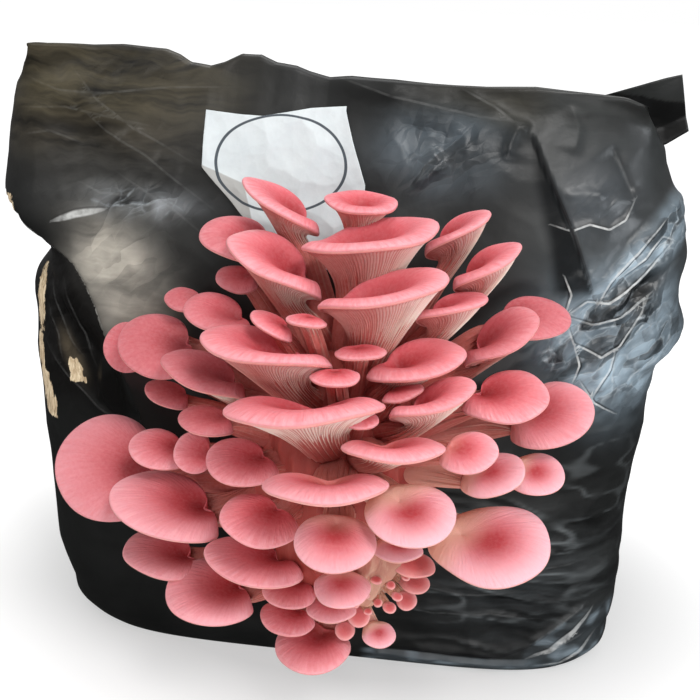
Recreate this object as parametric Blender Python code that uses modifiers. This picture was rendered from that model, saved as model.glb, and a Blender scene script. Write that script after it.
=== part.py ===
"""Oyster mushroom grow bag: a filled black film bag that stands on its flat base, with a paper label and a
large cluster of pink oyster mushrooms growing out of a hole in its front.

Metres, +Z up, the front faces -Y. The origin is the middle of the bag's resting face.
Heights are above the floor, "across" is to the viewer's right, and "out" is measured forward of FRONT_PLANE.
"""
import math

import bmesh
import bpy
from mathutils import Vector

MM = 0.001

# Fit between touching pieces, and the film
GAP = 0.3 * MM
MERGE_DISTANCE = 0.001 * MM
FILM_THICKNESS = 0.8 * MM
FRONT_PLANE = -0.085

# The bag's level sections in mm: height, left, right, front, back, squareness of the corners
BAG_POINTS = 24
BAG_SECTIONS = (
    (0, -136, 132, -86, 78, 5.0),
    (4, -143, 138, -88, 82, 5.0),
    (22, -151, 143, -89, 84, 5.0),
    (60, -161, 144, -90, 85, 4.5),
    (110, -169, 145, -90, 85, 4.0),
    (155, -170, 147, -89, 82, 4.0),
    (180, -169, 156, -87, 78, 4.0),
    (197, -159, 152, -85, 73, 4.0),
    (213, -174, 154, -82, 66, 4.0),
    (240, -177, 145, -75, 50, 3.8),
    (262, -173, 138, -68, 26, 3.6),
    (279, -167, 132, -61, -8, 3.4),
    (288, -157, 123, -58, -48, 3.0),
)
TOP_SLOPE = -0.045
TOP_SLOPE_START = 0.200

# The loose upper left film hangs over the body along a slanting fold; below the fold the body stands back
FOLD_TOP = (-0.160, 0.215)
FOLD_FOOT = (-0.110, 0.160)
FOLD_STEP = 0.009
FOLD_WIDTH = 0.018

# The film's loose corner that stands up and out behind the top right
FLAP_THICKNESS = 1.4 * MM
FLAP_Y = -0.030
FLAP_OUTLINE = (
    (0.088, 0.262), (0.130, 0.257), (0.146, 0.264), (0.143, 0.277),
    (0.138, 0.292), (0.131, 0.290), (0.112, 0.284), (0.090, 0.279),
)

# The tucked film strip along the right half of the front's foot
TUCK_THICKNESS = 3.0 * MM
TUCK_Y = -0.0898
TUCK_OUTLINE = ((0.018, 0.001), (0.102, 0.001), (0.114, 0.012), (0.096, 0.009), (0.022, 0.008))

# The hole in the film that the cluster grows from, and the substrate block behind it
HOLE_CENTRE = (0.004, 0.122)
HOLE_HALF_WIDTH = 0.026
HOLE_HALF_HEIGHT = 0.042
HOLE_BAR_LENGTH = 0.050
SUBSTRATE_INSET = 3.0 * MM
SUBSTRATE_TOP = 0.244

# The label: corners across and up its face, following the film
LABEL_THICKNESS = 0.6 * MM
LABEL_LIFT = 1.0 * MM
LABEL_LEFT = -0.074
LABEL_RIGHT = 0.001
LABEL_TOP = 0.267
LABEL_FOOT = 0.203
LABEL_STEPS = 4
LABEL_CUT_CORNER = 0.040

# The cluster base: a lumpy mound in front of the hole
MOUND_CENTRE = Vector((0.004, FRONT_PLANE - 0.038, 0.122))
MOUND_HALF_SIZE = Vector((0.036, 0.042, 0.064))
MOUND_LUMPS = 0.06

# How far a stem's root lies from the mound's middle towards its cap: across, out, and up or down
ROOT_ACROSS = 0.25
ROOT_OUT = 0.30
ROOT_UP = 0.40
ROOT_DOWN = 0.75

# Mushrooms: every size in mm and every angle in degrees, as
# across, height, out, cap width, cap depth, gill depth, nod towards the viewer, list to the right
MUSHROOMS = {
    "top": (
        (-27, 238, 24, 40, 24, 22, 14, 23),
        (4, 241, 29, 30, 22, 20, 12, 1),
        (8, 232, 44, 56, 34, 38, 8, -9),
        (41, 234, 32, 32, 20, 26, 15, -25),
        (53, 224, 44, 32, 21, 26, 18, -25),
        (15, 216, 62, 52, 31, 36, 8, -12),
        (42, 209, 54, 30, 18, 23, 10, -12),
    ),
    "upper_left": (
        (-25, 220, 46, 45, 36, 30, 14, 19),
        (-44, 223, 30, 36, 31, 20, 23, 8),
        (-45, 206, 34, 19, 16, 6, 30, 6),
        (-48, 197, 52, 31, 25, 18, 20, 9),
        (-25, 193, 72, 53, 34, 31, 4, 3),
        (-24, 198, 66, 20, 14, 8, 14, 25),
        (-11, 202, 70, 16, 11, 7, 6, 3),
    ),
    "left": (
        (-70, 192, 24, 19, 15, 6, 25, 7),
        (-79, 174, 32, 37, 35, 14, 34, 8),
        (-97, 166, 20, 23, 23, 8, 60, 30),
        (-53, 172, 52, 40, 30, 20, 10, 11),
        (-75, 152, 34, 22, 18, 7, 12, 17),
    ),
    "middle": (
        (-8, 178, 92, 60, 36, 28, -1, -7),
        (10, 192, 72, 20, 14, 7, 5, -5),
        (2, 185, 82, 19, 14, 7, 9, -4),
        (30, 191, 70, 40, 30, 21, 13, -10),
        (27, 179, 78, 17, 12, 6, 5, -20),
        (37, 182, 84, 35, 24, 23, 9, -18),
        (13, 173, 92, 14, 11, 5, 19, -1),
        (26, 167, 98, 38, 24, 16, 0, -2),
    ),
    "right": (
        (74, 200, 34, 36, 28, 18, 25, 1),
        (61, 196, 48, 36, 27, 23, 23, -27),
        (66, 176, 62, 35, 31, 15, 21, -5),
        (86, 162, 44, 37, 35, 15, 30, -17),
        (53, 161, 86, 23, 20, 8, 28, -9),
        (64, 146, 72, 26, 22, 9, 24, -21),
        (83, 140, 56, 23, 21, 8, 30, -7),
        (67, 118, 75, 46, 42, 12, 21, -5),
    ),
    "front": (
        (34, 140, 98, 34, 30, 10, 26, 0),
        (30, 116, 84, 20, 16, 7, 6, 0),
        (3, 154, 106, 46, 30, 18, -1, -5),
        (7, 128, 102, 31, 29, 10, 25, 1),
    ),
    "lower_left": (
        (-101, 114, 34, 52, 52, 13, 40, 18),
        (-76, 131, 46, 27, 23, 8, 23, 9),
        (-68, 112, 58, 52, 41, 13, 14, 10),
        (-58, 135, 56, 18, 18, 6, 55, 25),
        (-33, 144, 76, 31, 26, 9, 20, 4),
        (-51, 154, 62, 25, 20, 7, 13, 4),
        (-75, 78, 44, 38, 31, 10, 11, 10),
        (-50, 71, 58, 42, 38, 12, 17, 2),
        (-28, 99, 74, 43, 32, 12, 6, 7),
        (-24, 125, 86, 32, 29, 10, 18, 7),
    ),
    "bottom": (
        (-14, 83, 70, 23, 21, 7, 14, 1),
        (9, 96, 84, 23, 21, 7, 16, -1),
        (4, 78, 73, 21, 17, 6, 6, -1),
        (-16, 61, 58, 25, 21, 7, 12, 5),
        (-5, 47, 56, 34, 33, 9, 14, -3),
        (24, 55, 56, 15, 13, 5, 29, -1),
    ),
}

# Pins: very small caps that stay one piece with the cluster base, in the same terms
PINS = (
    (37, 96, 62, 18, 15, 7, 14, 3),
    (38, 83, 56, 13, 11, 4, 19, 3),
    (35, 73, 55, 9, 9, 3, 45, 1),
    (15, 66, 60, 10, 10, 4, 50, 5),
    (9, 55, 56, 9, 9, 3, 50, 6),
)

# Mushroom form, as shares of the cap
CAP_POINTS_LARGE = 9
CAP_POINTS_SMALL = 7
CAP_POINTS_PIN = 6
LARGE_CAP = 0.025
DIP_SHARE = 0.45
DROOP_SHARE = 0.07
DROOP_START = 0.72
NOTCH_SHARE = 0.12
NECK_SHIFT = 0.55
STEM_BASE_RADIUS = 1.5 * MM
STEM_SHARE = 0.07
STEM_ROOT_FLARE = 1.25

SHARP_ANGLE = math.radians(50)


def remove_start_objects():
    for item in list(bpy.data.objects):
        bpy.data.objects.remove(item, do_unlink=True)


def new_collection(name):
    collection = bpy.data.collections.new(name)
    bpy.context.scene.collection.children.link(collection)
    return collection


def add_object(name, mesh_builder, collection):
    """Make a named object from a bmesh, with its faces turned outwards."""
    mesh_builder.normal_update()
    bmesh.ops.recalc_face_normals(mesh_builder, faces=mesh_builder.faces)
    mesh = bpy.data.meshes.new(name)
    mesh_builder.to_mesh(mesh)
    mesh_builder.free()
    item = bpy.data.objects.new(name, mesh)
    collection.objects.link(item)
    return item


def as_cutter(item):
    item.display_type = "WIRE"
    item.hide_render = True


def apply_modifiers(item):
    """Replace the object's mesh by the result of its modifiers."""
    graph = bpy.context.evaluated_depsgraph_get()
    graph.update()
    result = bpy.data.meshes.new_from_object(item.evaluated_get(graph))
    item.modifiers.clear()
    item.data = result


def swollen_copy(item, growth, collection):
    """A cutter with the object's form, grown outwards along its normals."""
    copy = item.copy()
    copy.data = item.data.copy()
    copy.name = "cutter_" + item.name
    collection.objects.link(copy)
    swell = copy.modifiers.new("swell", "DISPLACE")
    swell.direction = "NORMAL"
    swell.mid_level = 0
    swell.strength = growth
    as_cutter(copy)
    return copy


def combine(item, other, operation):
    boolean = item.modifiers.new(operation.lower(), "BOOLEAN")
    boolean.operation = operation
    boolean.solver = "EXACT"
    boolean.use_self = True
    boolean.object = other


def cut(item, cutter):
    combine(item, cutter, "DIFFERENCE")


def join_to(item, other):
    combine(item, other, "UNION")


def keep_largest_body(item):
    """Drop the scraps that a cut leaves beside the main body."""
    builder = bmesh.new()
    builder.from_mesh(item.data)
    bmesh.ops.remove_doubles(builder, verts=builder.verts, dist=MERGE_DISTANCE)
    bmesh.ops.dissolve_degenerate(builder, edges=builder.edges, dist=MERGE_DISTANCE)
    unseen = set(builder.faces)
    bodies = []
    while unseen:
        body = []
        front = [unseen.pop()]
        while front:
            face = front.pop()
            body.append(face)
            for edge in face.edges:
                if len(edge.link_faces) != 2:
                    continue
                for other in edge.link_faces:
                    if other in unseen:
                        unseen.discard(other)
                        front.append(other)
        bodies.append(body)
    largest = max(bodies, key=body_volume)
    scraps = [face for body in bodies if body is not largest for face in body]
    bmesh.ops.delete(builder, geom=scraps, context="FACES")
    loose = [edge for edge in builder.edges if not edge.link_faces]
    bmesh.ops.delete(builder, geom=loose, context="EDGES")
    builder.to_mesh(item.data)
    builder.free()


def body_volume(body):
    """The volume inside a closed set of faces."""
    return sum(face.calc_area() * face.normal.dot(face.calc_center_median()) / 3 for face in body)


def smooth_step(value):
    value = min(1.0, max(0.0, value))
    return value * value * (3 - 2 * value)


def fold_setback(x, z):
    """How far the front stands back below the slanting fold at the upper left."""
    run = FOLD_FOOT[0] - FOLD_TOP[0]
    rise = FOLD_FOOT[1] - FOLD_TOP[1]
    length = math.hypot(run, rise)
    below = ((x - FOLD_TOP[0]) * rise - (z - FOLD_TOP[1]) * run) / length
    fade = smooth_step((z - 0.030) / 0.080) * smooth_step((FOLD_FOOT[0] + 0.022 - x) / 0.030)
    return FOLD_STEP * smooth_step(below / FOLD_WIDTH) * fade


def bag_point(section, angle, inset):
    height, left, right, front, back, squareness = section
    middle = Vector(((left + right) / 2, (front + back) / 2)) * MM
    half = Vector(((right - left) / 2, (back - front) / 2)) * MM - Vector((inset, inset))
    power = 2 / squareness
    x = middle.x + half.x * math.copysign(abs(math.cos(angle)) ** power, math.cos(angle))
    y = middle.y + half.y * math.copysign(abs(math.sin(angle)) ** power, math.sin(angle))
    z = height * MM
    if y < middle.y:
        y += fold_setback(x, z)
    slope = TOP_SLOPE * (x + 0.112) * max(0.0, z - TOP_SLOPE_START) / (0.290 - TOP_SLOPE_START)
    return Vector((x, y, z + slope))


def bag_loft(sections, inset):
    """A closed loft through level sections, wide at the floor and pinched to a fold at the top."""
    builder = bmesh.new()
    angles = [2 * math.pi * (step + 0.5) / BAG_POINTS for step in range(BAG_POINTS)]
    rings = [[builder.verts.new(bag_point(section, angle, inset)) for angle in angles] for section in sections]
    for lower, upper in zip(rings, rings[1:]):
        bridge(builder, lower, upper)
    builder.faces.new(rings[0])
    builder.faces.new(rings[-1])
    return builder


def bridge(builder, lower, upper):
    """Faces between two rings with the same number of points."""
    for index in range(len(lower)):
        after = (index + 1) % len(lower)
        builder.faces.new((lower[index], lower[after], upper[after], upper[index]))


def film_front(z):
    """The y of the film's front at a height, between the bag's sections."""
    for low, high in zip(BAG_SECTIONS, BAG_SECTIONS[1:]):
        if low[0] * MM <= z <= high[0] * MM:
            share = (z - low[0] * MM) / ((high[0] - low[0]) * MM)
            return (low[3] + (high[3] - low[3]) * share) * MM
    return BAG_SECTIONS[-1][3] * MM


def add_plate(name, outline, y, thickness, collection):
    """An upright plate from a flat curve, with its outline across and up and its front face at y."""
    curve = bpy.data.curves.new(name, "CURVE")
    curve.dimensions = "2D"
    curve.fill_mode = "BOTH"
    curve.extrude = thickness / 2
    spline = curve.splines.new("POLY")
    spline.points.add(len(outline) - 1)
    for point, (x, z) in zip(spline.points, outline):
        point.co = (x, z, 0, 1)
    spline.use_cyclic_u = True
    guide = bpy.data.objects.new(name + "_outline", curve)
    collection.objects.link(guide)
    graph = bpy.context.evaluated_depsgraph_get()
    mesh = bpy.data.meshes.new_from_object(guide.evaluated_get(graph))
    bpy.data.objects.remove(guide, do_unlink=True)
    builder = bmesh.new()
    builder.from_mesh(mesh)
    bmesh.ops.remove_doubles(builder, verts=builder.verts, dist=MERGE_DISTANCE)
    for vert in builder.verts:
        vert.co = Vector((vert.co.x, y + thickness / 2 - vert.co.z, vert.co.y))
    return add_object(name, builder, collection)


def make_grow_bag(part, cutters):
    """The film bag: a thin closed shell, folded at the top, with the hole that the cluster grows from."""
    bag = add_object("grow_bag", bag_loft(BAG_SECTIONS, 0.0), part)
    film = bag.modifiers.new("film", "SOLIDIFY")
    film.thickness = FILM_THICKNESS
    film.offset = -1

    flap = add_plate("loose_corner", FLAP_OUTLINE, FLAP_Y, FLAP_THICKNESS, cutters)
    tuck = add_plate("foot_tuck", TUCK_OUTLINE, TUCK_Y, TUCK_THICKNESS, cutters)
    hole = make_hole_cutter("front_hole", 0.0, cutters)
    as_cutter(flap)
    as_cutter(tuck)
    join_to(bag, flap)
    join_to(bag, tuck)
    cut(bag, hole)
    apply_modifiers(bag)
    keep_largest_body(bag)
    return bag


def make_hole_cutter(name, shrink, cutters):
    """An oval bar through the bag's front film."""
    builder = bmesh.new()
    bmesh.ops.create_cone(builder, cap_ends=True, segments=16, radius1=1, radius2=1, depth=HOLE_BAR_LENGTH)
    for vert in builder.verts:
        x = HOLE_CENTRE[0] + vert.co.x * (HOLE_HALF_WIDTH - shrink)
        z = HOLE_CENTRE[1] + vert.co.y * (HOLE_HALF_HEIGHT - shrink)
        vert.co = Vector((x, FRONT_PLANE + vert.co.z, z))
    bar = add_object(name, builder, cutters)
    as_cutter(bar)
    return bar


def make_substrate_block(part):
    """The compacted block that fills the bag."""
    body = [section for section in BAG_SECTIONS if section[0] * MM < SUBSTRATE_TOP]
    floor = (SUBSTRATE_INSET / MM,) + body[0][1:]
    return add_object("substrate_block", bag_loft([floor] + body[1:], SUBSTRATE_INSET), part)


def make_label(part):
    """A thin paper sheet that follows the film, with one lower corner turned away."""
    builder = bmesh.new()
    bmesh.ops.create_grid(builder, x_segments=LABEL_STEPS, y_segments=LABEL_STEPS, size=1)
    for vert in builder.verts:
        z = LABEL_FOOT + (LABEL_TOP - LABEL_FOOT) * (vert.co.y + 1) / 2
        left = LABEL_LEFT + max(0.0, LABEL_CUT_CORNER - (z - LABEL_FOOT)) * 1.05
        x = left + (LABEL_RIGHT - left) * (vert.co.x + 1) / 2
        vert.co = Vector((x, film_front(z) - LABEL_LIFT, z))
    label = add_object("label", builder, part)
    paper = label.modifiers.new("paper", "SOLIDIFY")
    paper.thickness = LABEL_THICKNESS
    paper.offset = 1 if label.data.polygons[0].normal.y < 0 else -1
    return label


def cap_axes(nod, lean):
    """The cap's upward axis, its axis to the right and its axis to the front."""
    up = Vector((math.tan(math.radians(lean)), -math.tan(math.radians(nod)), 1)).normalized()
    right = Vector((0, -1, 0)).cross(up).normalized() * -1
    front = right.cross(up) * -1
    if front.y > 0:
        front = -front
    return up, right, front


def cap_top(share, width, gill_depth):
    """Height of the cap's upper face, from the neck (0) to the margin (1)."""
    bowl = DIP_SHARE * gill_depth * (1 - share) ** 1.8
    droop = DROOP_SHARE * width * max(0.0, (share - DROOP_START) / (1 - DROOP_START)) ** 2
    return -bowl - droop


def cap_under(share, width, gill_depth):
    """Height of the gill side, from the neck (0) to the margin (1)."""
    return -gill_depth * (1 - share) ** 0.85 - DROOP_SHARE * width * share ** 4


def mushroom_mesh(row, points):
    """One mushroom: a ring loft from the stem's root, over the gills and margin, to the middle of the cap."""
    across, height, out, width, depth, gill_depth = (value * MM for value in row[:6])
    up, right, front = cap_axes(row[6], row[7])
    place = Vector((across, FRONT_PLANE - out, height))
    reach = place - MOUND_CENTRE
    root_rise = ROOT_UP if reach.z > 0 else ROOT_DOWN
    root = MOUND_CENTRE + Vector((reach.x * ROOT_ACROSS, reach.y * ROOT_OUT, reach.z * root_rise))
    travel = (place - root).normalized()
    lean_right = travel.dot(right)
    lean_front = travel.dot(front)
    neck = Vector((lean_right * width, lean_front * depth)) * -NECK_SHIFT / 2
    notch = NOTCH_SHARE * math.hypot(lean_right, lean_front)
    back_angle = math.atan2(-lean_right, -lean_front)

    def outline(angle):
        away = math.remainder(angle - back_angle, 2 * math.pi)
        size = 1 - notch * math.exp(-(away / 0.6) ** 2)
        return Vector((math.sin(angle) * width / 2, math.cos(angle) * depth / 2)) * size

    def cap_point(angle, share, level):
        flat = neck.lerp(outline(angle), share)
        return place + right * flat.x + front * flat.y + up * level

    builder = bmesh.new()
    angles = [2 * math.pi * step / points for step in range(points)]
    stem_radius = STEM_BASE_RADIUS + STEM_SHARE * width
    gill_run = (up * -1 + (root - place).normalized()).normalized()
    neck_middle = place + right * neck.x + front * neck.y + gill_run * gill_depth
    stem = (neck_middle - root).normalized()
    rings = []
    for middle, facing, radius in (
        (root, stem, stem_radius * STEM_ROOT_FLARE),
        (neck_middle, (stem + up).normalized(), stem_radius),
    ):
        turn = up.rotation_difference(facing)
        ring = [middle + turn @ (right * math.sin(a) + front * math.cos(a)) * radius for a in angles]
        rings.append([builder.verts.new(point) for point in ring])
    levels = (
        (0.55, cap_under(0.55, width, gill_depth)),
        (1.0, cap_top(1.0, width, gill_depth)),
        (0.78, cap_top(0.78, width, gill_depth)),
        (0.35, cap_top(0.35, width, gill_depth)),
    )
    for share, level in levels:
        rings.append([builder.verts.new(cap_point(angle, share, level)) for angle in angles])
    for lower, upper in zip(rings, rings[1:]):
        bridge(builder, lower, upper)
    builder.faces.new(rings[0])
    centre = builder.verts.new(cap_point(0.0, 0.0, cap_top(0.0, width, gill_depth)))
    for index in range(points):
        builder.faces.new((rings[-1][index], rings[-1][(index + 1) % points], centre))
    return builder


def make_cluster_base(part, cutters, bag, substrate):
    """The lumpy base tissue that fills the hole, with the pins that grow from it."""
    builder = bmesh.new()
    bmesh.ops.create_icosphere(builder, subdivisions=2, radius=1.0)
    for vert in builder.verts:
        lumps = math.sin(5 * vert.co.x + 1) * math.sin(4 * vert.co.z) * math.cos(3 * vert.co.y)
        size = 1 + MOUND_LUMPS * lumps
        vert.co = MOUND_CENTRE + Vector([vert.co[axis] * MOUND_HALF_SIZE[axis] * size for axis in range(3)])
    base = add_object("cluster_base", builder, part)
    join_to(base, make_hole_cutter("hole_plug", 0.5 * MM, cutters))
    for index, row in enumerate(PINS):
        pin = add_object("pin_%d" % (index + 1), mushroom_mesh(row, CAP_POINTS_PIN), cutters)
        as_cutter(pin)
        join_to(base, pin)
    cut(base, swollen_copy(bag, GAP, cutters))
    cut(base, swollen_copy(substrate, GAP, cutters))
    apply_modifiers(base)
    keep_largest_body(base)
    return base


def make_mushrooms(part, cutters, base):
    """All the separate mushrooms, each cut clear of the base and of those in front of it."""
    rows = [(region, index, row) for region in MUSHROOMS for index, row in enumerate(MUSHROOMS[region])]
    rows.sort(key=lambda entry: -entry[2][2])
    base_cutter = swollen_copy(base, GAP, cutters)
    placed = []
    mushrooms = []
    for region, index, row in rows:
        points = CAP_POINTS_LARGE if row[3] * MM >= LARGE_CAP else CAP_POINTS_SMALL
        name = "mushroom_%s_%d" % (region, index + 1)
        mushroom = add_object(name, mushroom_mesh(row, points), part)
        cutter_of_it = swollen_copy(mushroom, GAP, cutters)
        cut(mushroom, base_cutter)
        for cutter in placed:
            if boxes_meet(mushroom, cutter):
                cut(mushroom, cutter)
        apply_modifiers(mushroom)
        keep_largest_body(mushroom)
        placed.append(cutter_of_it)
        mushrooms.append(mushroom)
    return mushrooms


def boxes_meet(first, second):
    boxes = []
    for item in (first, second):
        points = [vert.co for vert in item.data.vertices]
        lows = [min(point[axis] for point in points) for axis in range(3)]
        highs = [max(point[axis] for point in points) for axis in range(3)]
        boxes.append((lows, highs))
    return all(
        boxes[0][0][axis] < boxes[1][1][axis] + GAP and boxes[1][0][axis] < boxes[0][1][axis] + GAP
        for axis in range(3)
    )


def plain_material(name, colour, roughness, specular):
    material = bpy.data.materials.new(name)
    material.use_nodes = True
    shader = material.node_tree.nodes["Principled BSDF"]
    shader.inputs["Base Color"].default_value = (*colour, 1)
    shader.inputs["Roughness"].default_value = roughness
    shader.inputs["Specular IOR Level"].default_value = specular
    material.diffuse_color = (*colour, 1)
    return material


def film_material():
    return plain_material("black_film", (0.02, 0.02, 0.022), 0.35, 0.6)


def substrate_material():
    return plain_material("substrate", (0.55, 0.45, 0.30), 0.9, 0.2)


def paper_material():
    return plain_material("label_paper", (0.85, 0.85, 0.84), 0.8, 0.3)


def base_tissue_material():
    return plain_material("base_tissue", (0.78, 0.55, 0.45), 0.7, 0.3)


def mushroom_material():
    return plain_material("mushroom_flesh", (0.80, 0.28, 0.32), 0.6, 0.35)


def finish(items, material):
    """Give the pieces their material and smooth shading."""
    for item in items:
        item.data.materials.clear()
        item.data.materials.append(material)
        item.data.shade_smooth()
        item.data.set_sharp_from_angle(angle=SHARP_ANGLE)


def main():
    remove_start_objects()
    part = new_collection("oyster_mushroom_grow_bag")
    cutters = new_collection("cutters")
    bag = make_grow_bag(part, cutters)
    substrate = make_substrate_block(part)
    label = make_label(part)
    base = make_cluster_base(part, cutters, bag, substrate)
    mushrooms = make_mushrooms(part, cutters, base)
    finish([bag], film_material())
    finish([substrate], substrate_material())
    finish([label], paper_material())
    finish([base], base_tissue_material())
    finish(mushrooms, mushroom_material())


main()
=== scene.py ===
"""Looks of the oyster mushroom grow bag: the crumpled film, the paper label, the base tissue and every
mushroom with its gills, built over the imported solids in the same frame. Metres, +Z up, front facing -Y."""

import math

import bpy
import numpy as np
from mathutils import Matrix, Vector
from mathutils.bvhtree import BVHTree


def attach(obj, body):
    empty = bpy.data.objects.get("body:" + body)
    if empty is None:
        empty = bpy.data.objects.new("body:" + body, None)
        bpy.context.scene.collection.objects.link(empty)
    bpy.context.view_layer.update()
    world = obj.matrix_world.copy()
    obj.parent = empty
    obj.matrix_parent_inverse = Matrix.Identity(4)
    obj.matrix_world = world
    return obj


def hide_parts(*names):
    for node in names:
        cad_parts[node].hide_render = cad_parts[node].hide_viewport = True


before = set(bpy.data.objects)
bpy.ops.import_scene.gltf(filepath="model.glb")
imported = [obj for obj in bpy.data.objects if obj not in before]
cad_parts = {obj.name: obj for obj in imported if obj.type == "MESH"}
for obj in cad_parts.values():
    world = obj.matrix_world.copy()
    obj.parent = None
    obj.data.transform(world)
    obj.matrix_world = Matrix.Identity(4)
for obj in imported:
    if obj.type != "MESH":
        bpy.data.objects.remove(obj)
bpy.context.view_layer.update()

MM = 0.001

# The plane of the front film, in metres; the mushrooms' distances out are counted from it
FRONT_PLANE = -0.085

# The bag's level sections in mm, as in the solids: height, left, right, front, back, squareness
BAG_SECTIONS = (
    (0, -136, 132, -86, 78, 5.0),
    (4, -143, 138, -88, 82, 5.0),
    (22, -151, 143, -89, 84, 5.0),
    (60, -161, 144, -90, 85, 4.5),
    (110, -169, 145, -90, 85, 4.0),
    (155, -170, 147, -89, 82, 4.0),
    (180, -169, 156, -87, 78, 4.0),
    (197, -159, 152, -85, 73, 4.0),
    (213, -174, 154, -82, 66, 4.0),
    (240, -177, 145, -75, 50, 3.8),
    (262, -173, 138, -68, 26, 3.6),
    (279, -167, 132, -61, -8, 3.4),
    (288, -157, 123, -58, -48, 3.0),
)

BAG_HEIGHT = BAG_SECTIONS[-1][0]

# The bag leans down to the right of this x by so much of the way across; the lean begins at a height and is
# full so far above it, in mm
TOP_SLOPE, TOP_SLOPE_LEFT = -0.045, -112
TOP_SLOPE_START, TOP_SLOPE_RISE = 200, 90

# The height of the bag's wavy top edge along x, in mm
TOP_EDGE = (
    (-170, 287), (-157, 291), (-148, 290), (-126, 290), (-112, 291), (-92, 290), (-86, 288), (-81, 285),
    (-72, 284), (-66, 286), (-58, 290), (-49, 290), (-42, 287), (-33, 286), (-27, 284), (-18, 282), (-8, 283),
    (26, 282), (52, 282), (73, 283), (100, 281), (112, 280), (122, 277), (132, 270),
)

# The fold where the loose upper left film hangs over the body, from the left edge to behind the mushrooms.
# Its lip stands out, and the film below it steps back
LEFT_FOLD = (
    (-186, 232), (-170, 219), (-157, 208), (-145, 200), (-132, 195), (-124, 186), (-118, 176), (-113, 165),
    (-107, 148), (-102, 132),
)
LEFT_FOLD_LIP = 5.5
LEFT_FOLD_STEP = 9.0

# The straight crease in the film at the upper right, and the tucked strip along the foot
RIGHT_FOLD = ((70, 270), (73, 264), (84, 243), (95, 223), (105, 200))
TUCK_LEFT, TUCK_RIGHT, TUCK_TOP = 18, 100, 8.5

# Single creases in the film: points across and up in mm, the steep side's width, height
CREASES = (
    (((62, 253), (63, 260), (66, 267), (73, 269)), 1.6, 2.4),
    (((108, 262), (111, 257), (115, 250), (120, 240)), 1.8, -2.0),
    (((84, 228), (93, 226), (101, 229), (110, 227), (117, 231), (121, 240)), 1.6, 1.7),
    (((88, 240), (98, 242), (109, 240)), 1.5, 0.9),
    (((137, 232), (125, 219), (113, 206), (107, 193)), 2.0, 2.2),
    (((141, 222), (135, 224), (127, 215), (117, 207)), 1.5, 2.0),
    (((94, 189), (103, 196), (113, 196), (124, 204), (140, 221)), 1.3, 2.0),
    (((94, 189), (99, 178), (112, 172), (120, 178), (131, 198)), 1.3, 1.7),
    (((94, 189), (86, 180), (74, 172)), 1.3, 1.5),
    (((94, 189), (96, 199), (92, 207)), 1.2, 1.3),
    (((94, 189), (106, 187), (119, 190), (133, 200)), 1.2, 1.4),
    (((99, 178), (103, 168), (101, 158)), 1.2, 1.3),
    (((118, 176), (117, 166), (110, 152)), 1.4, 1.5),
    (((104, 160), (112, 150), (124, 142)), 1.6, 1.2),
    (((97, 17), (108, 27), (124, 43)), 2.0, 2.2),
    (((104, 12), (113, 18), (126, 24)), 1.5, 1.5),
    (((-136, 281), (-122, 268), (-104, 257), (-86, 249), (-76, 244)), 2.8, 0.8),
    (((-133, 266), (-117, 255), (-98, 246), (-80, 234), (-64, 224)), 2.8, 0.9),
    (((-112, 238), (-98, 231), (-84, 224), (-70, 214)), 2.6, 0.5),
    (((-162, 276), (-142, 271), (-120, 271), (-92, 275), (-60, 277)), 2.1, 0.9),
    (((-160, 262), (-138, 264), (-114, 261), (-94, 258)), 2.1, 0.7),
    (((-160, 250), (-146, 253), (-130, 249)), 1.8, 0.6),
    (((-112, 250), (-107, 255), (-101, 258)), 1.4, 0.9),
    (((-112, 253), (-108, 249), (-105, 252)), 1.4, 0.7),
    (((-93, 248), (-87, 244), (-80, 241)), 1.5, 0.7),
    (((-143, 213), (-131, 218), (-117, 221)), 3.0, 1.0),
    (((-130, 232), (-119, 228), (-107, 228), (-101, 231)), 1.7, 0.7),
    (((-112, 224), (-104, 222), (-99, 226), (-90, 224)), 1.5, 0.7),
    (((-117, 214), (-112, 222), (-108, 224)), 1.4, 0.4),
    (((-113, 205), (-112, 194), (-111, 184)), 1.1, 0.9),
    (((-107, 205), (-101, 197), (-92, 189)), 1.4, 0.9),
    (((-150, 182), (-146, 172), (-139, 158), (-130, 147)), 2.2, 2.2),
    (((-140, 186), (-136, 174), (-129, 160), (-124, 143)), 2.0, 2.4),
    (((-157, 150), (-148, 143), (-141, 136), (-124, 122), (-104, 112)), 1.8, 2.0),
    (((-152, 168), (-145, 155), (-143, 143)), 1.6, 1.8),
    (((10, 262), (17, 256), (20, 245)), 1.6, 1.1),
    (((27, 259), (34, 252), (30, 245), (22, 240)), 1.5, 1.6),
    (((38, 268), (44, 262), (46, 250)), 1.5, 1.0),
    (((-22, 286), (10, 277), (48, 271), (70, 269)), 2.4, 1.4),
    (((40, 282), (56, 275), (70, 266)), 2.0, 1.2),
    (((88, 279), (94, 268), (92, 256)), 2.0, 0.9),
    (((20, 38), (48, 33), (76, 36), (104, 33)), 1.6, 0.8),
    (((34, 50), (60, 46), (92, 50)), 1.5, 0.7),
    (((70, 66), (92, 62), (118, 66)), 1.5, 0.8),
)

# The label's corners in metres, as in the solids except that its left side is 2.5 mm further in, and the
# plain oval ring on it
LABEL_LEFT = -0.0715
LABEL_RIGHT = 0.001
LABEL_TOP = 0.267
LABEL_FOOT = 0.203
LABEL_CUT_CORNER = 0.040
RING_CENTRE = (-0.036, 0.2465)
RING_HALF = (0.0290, 0.0205)

# The cluster base's middle and half sizes, in metres
MOUND_CENTRE = Vector((0.004, FRONT_PLANE - 0.038, 0.122))
MOUND_HALF_SIZE = Vector((0.036, 0.042, 0.064))

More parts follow.
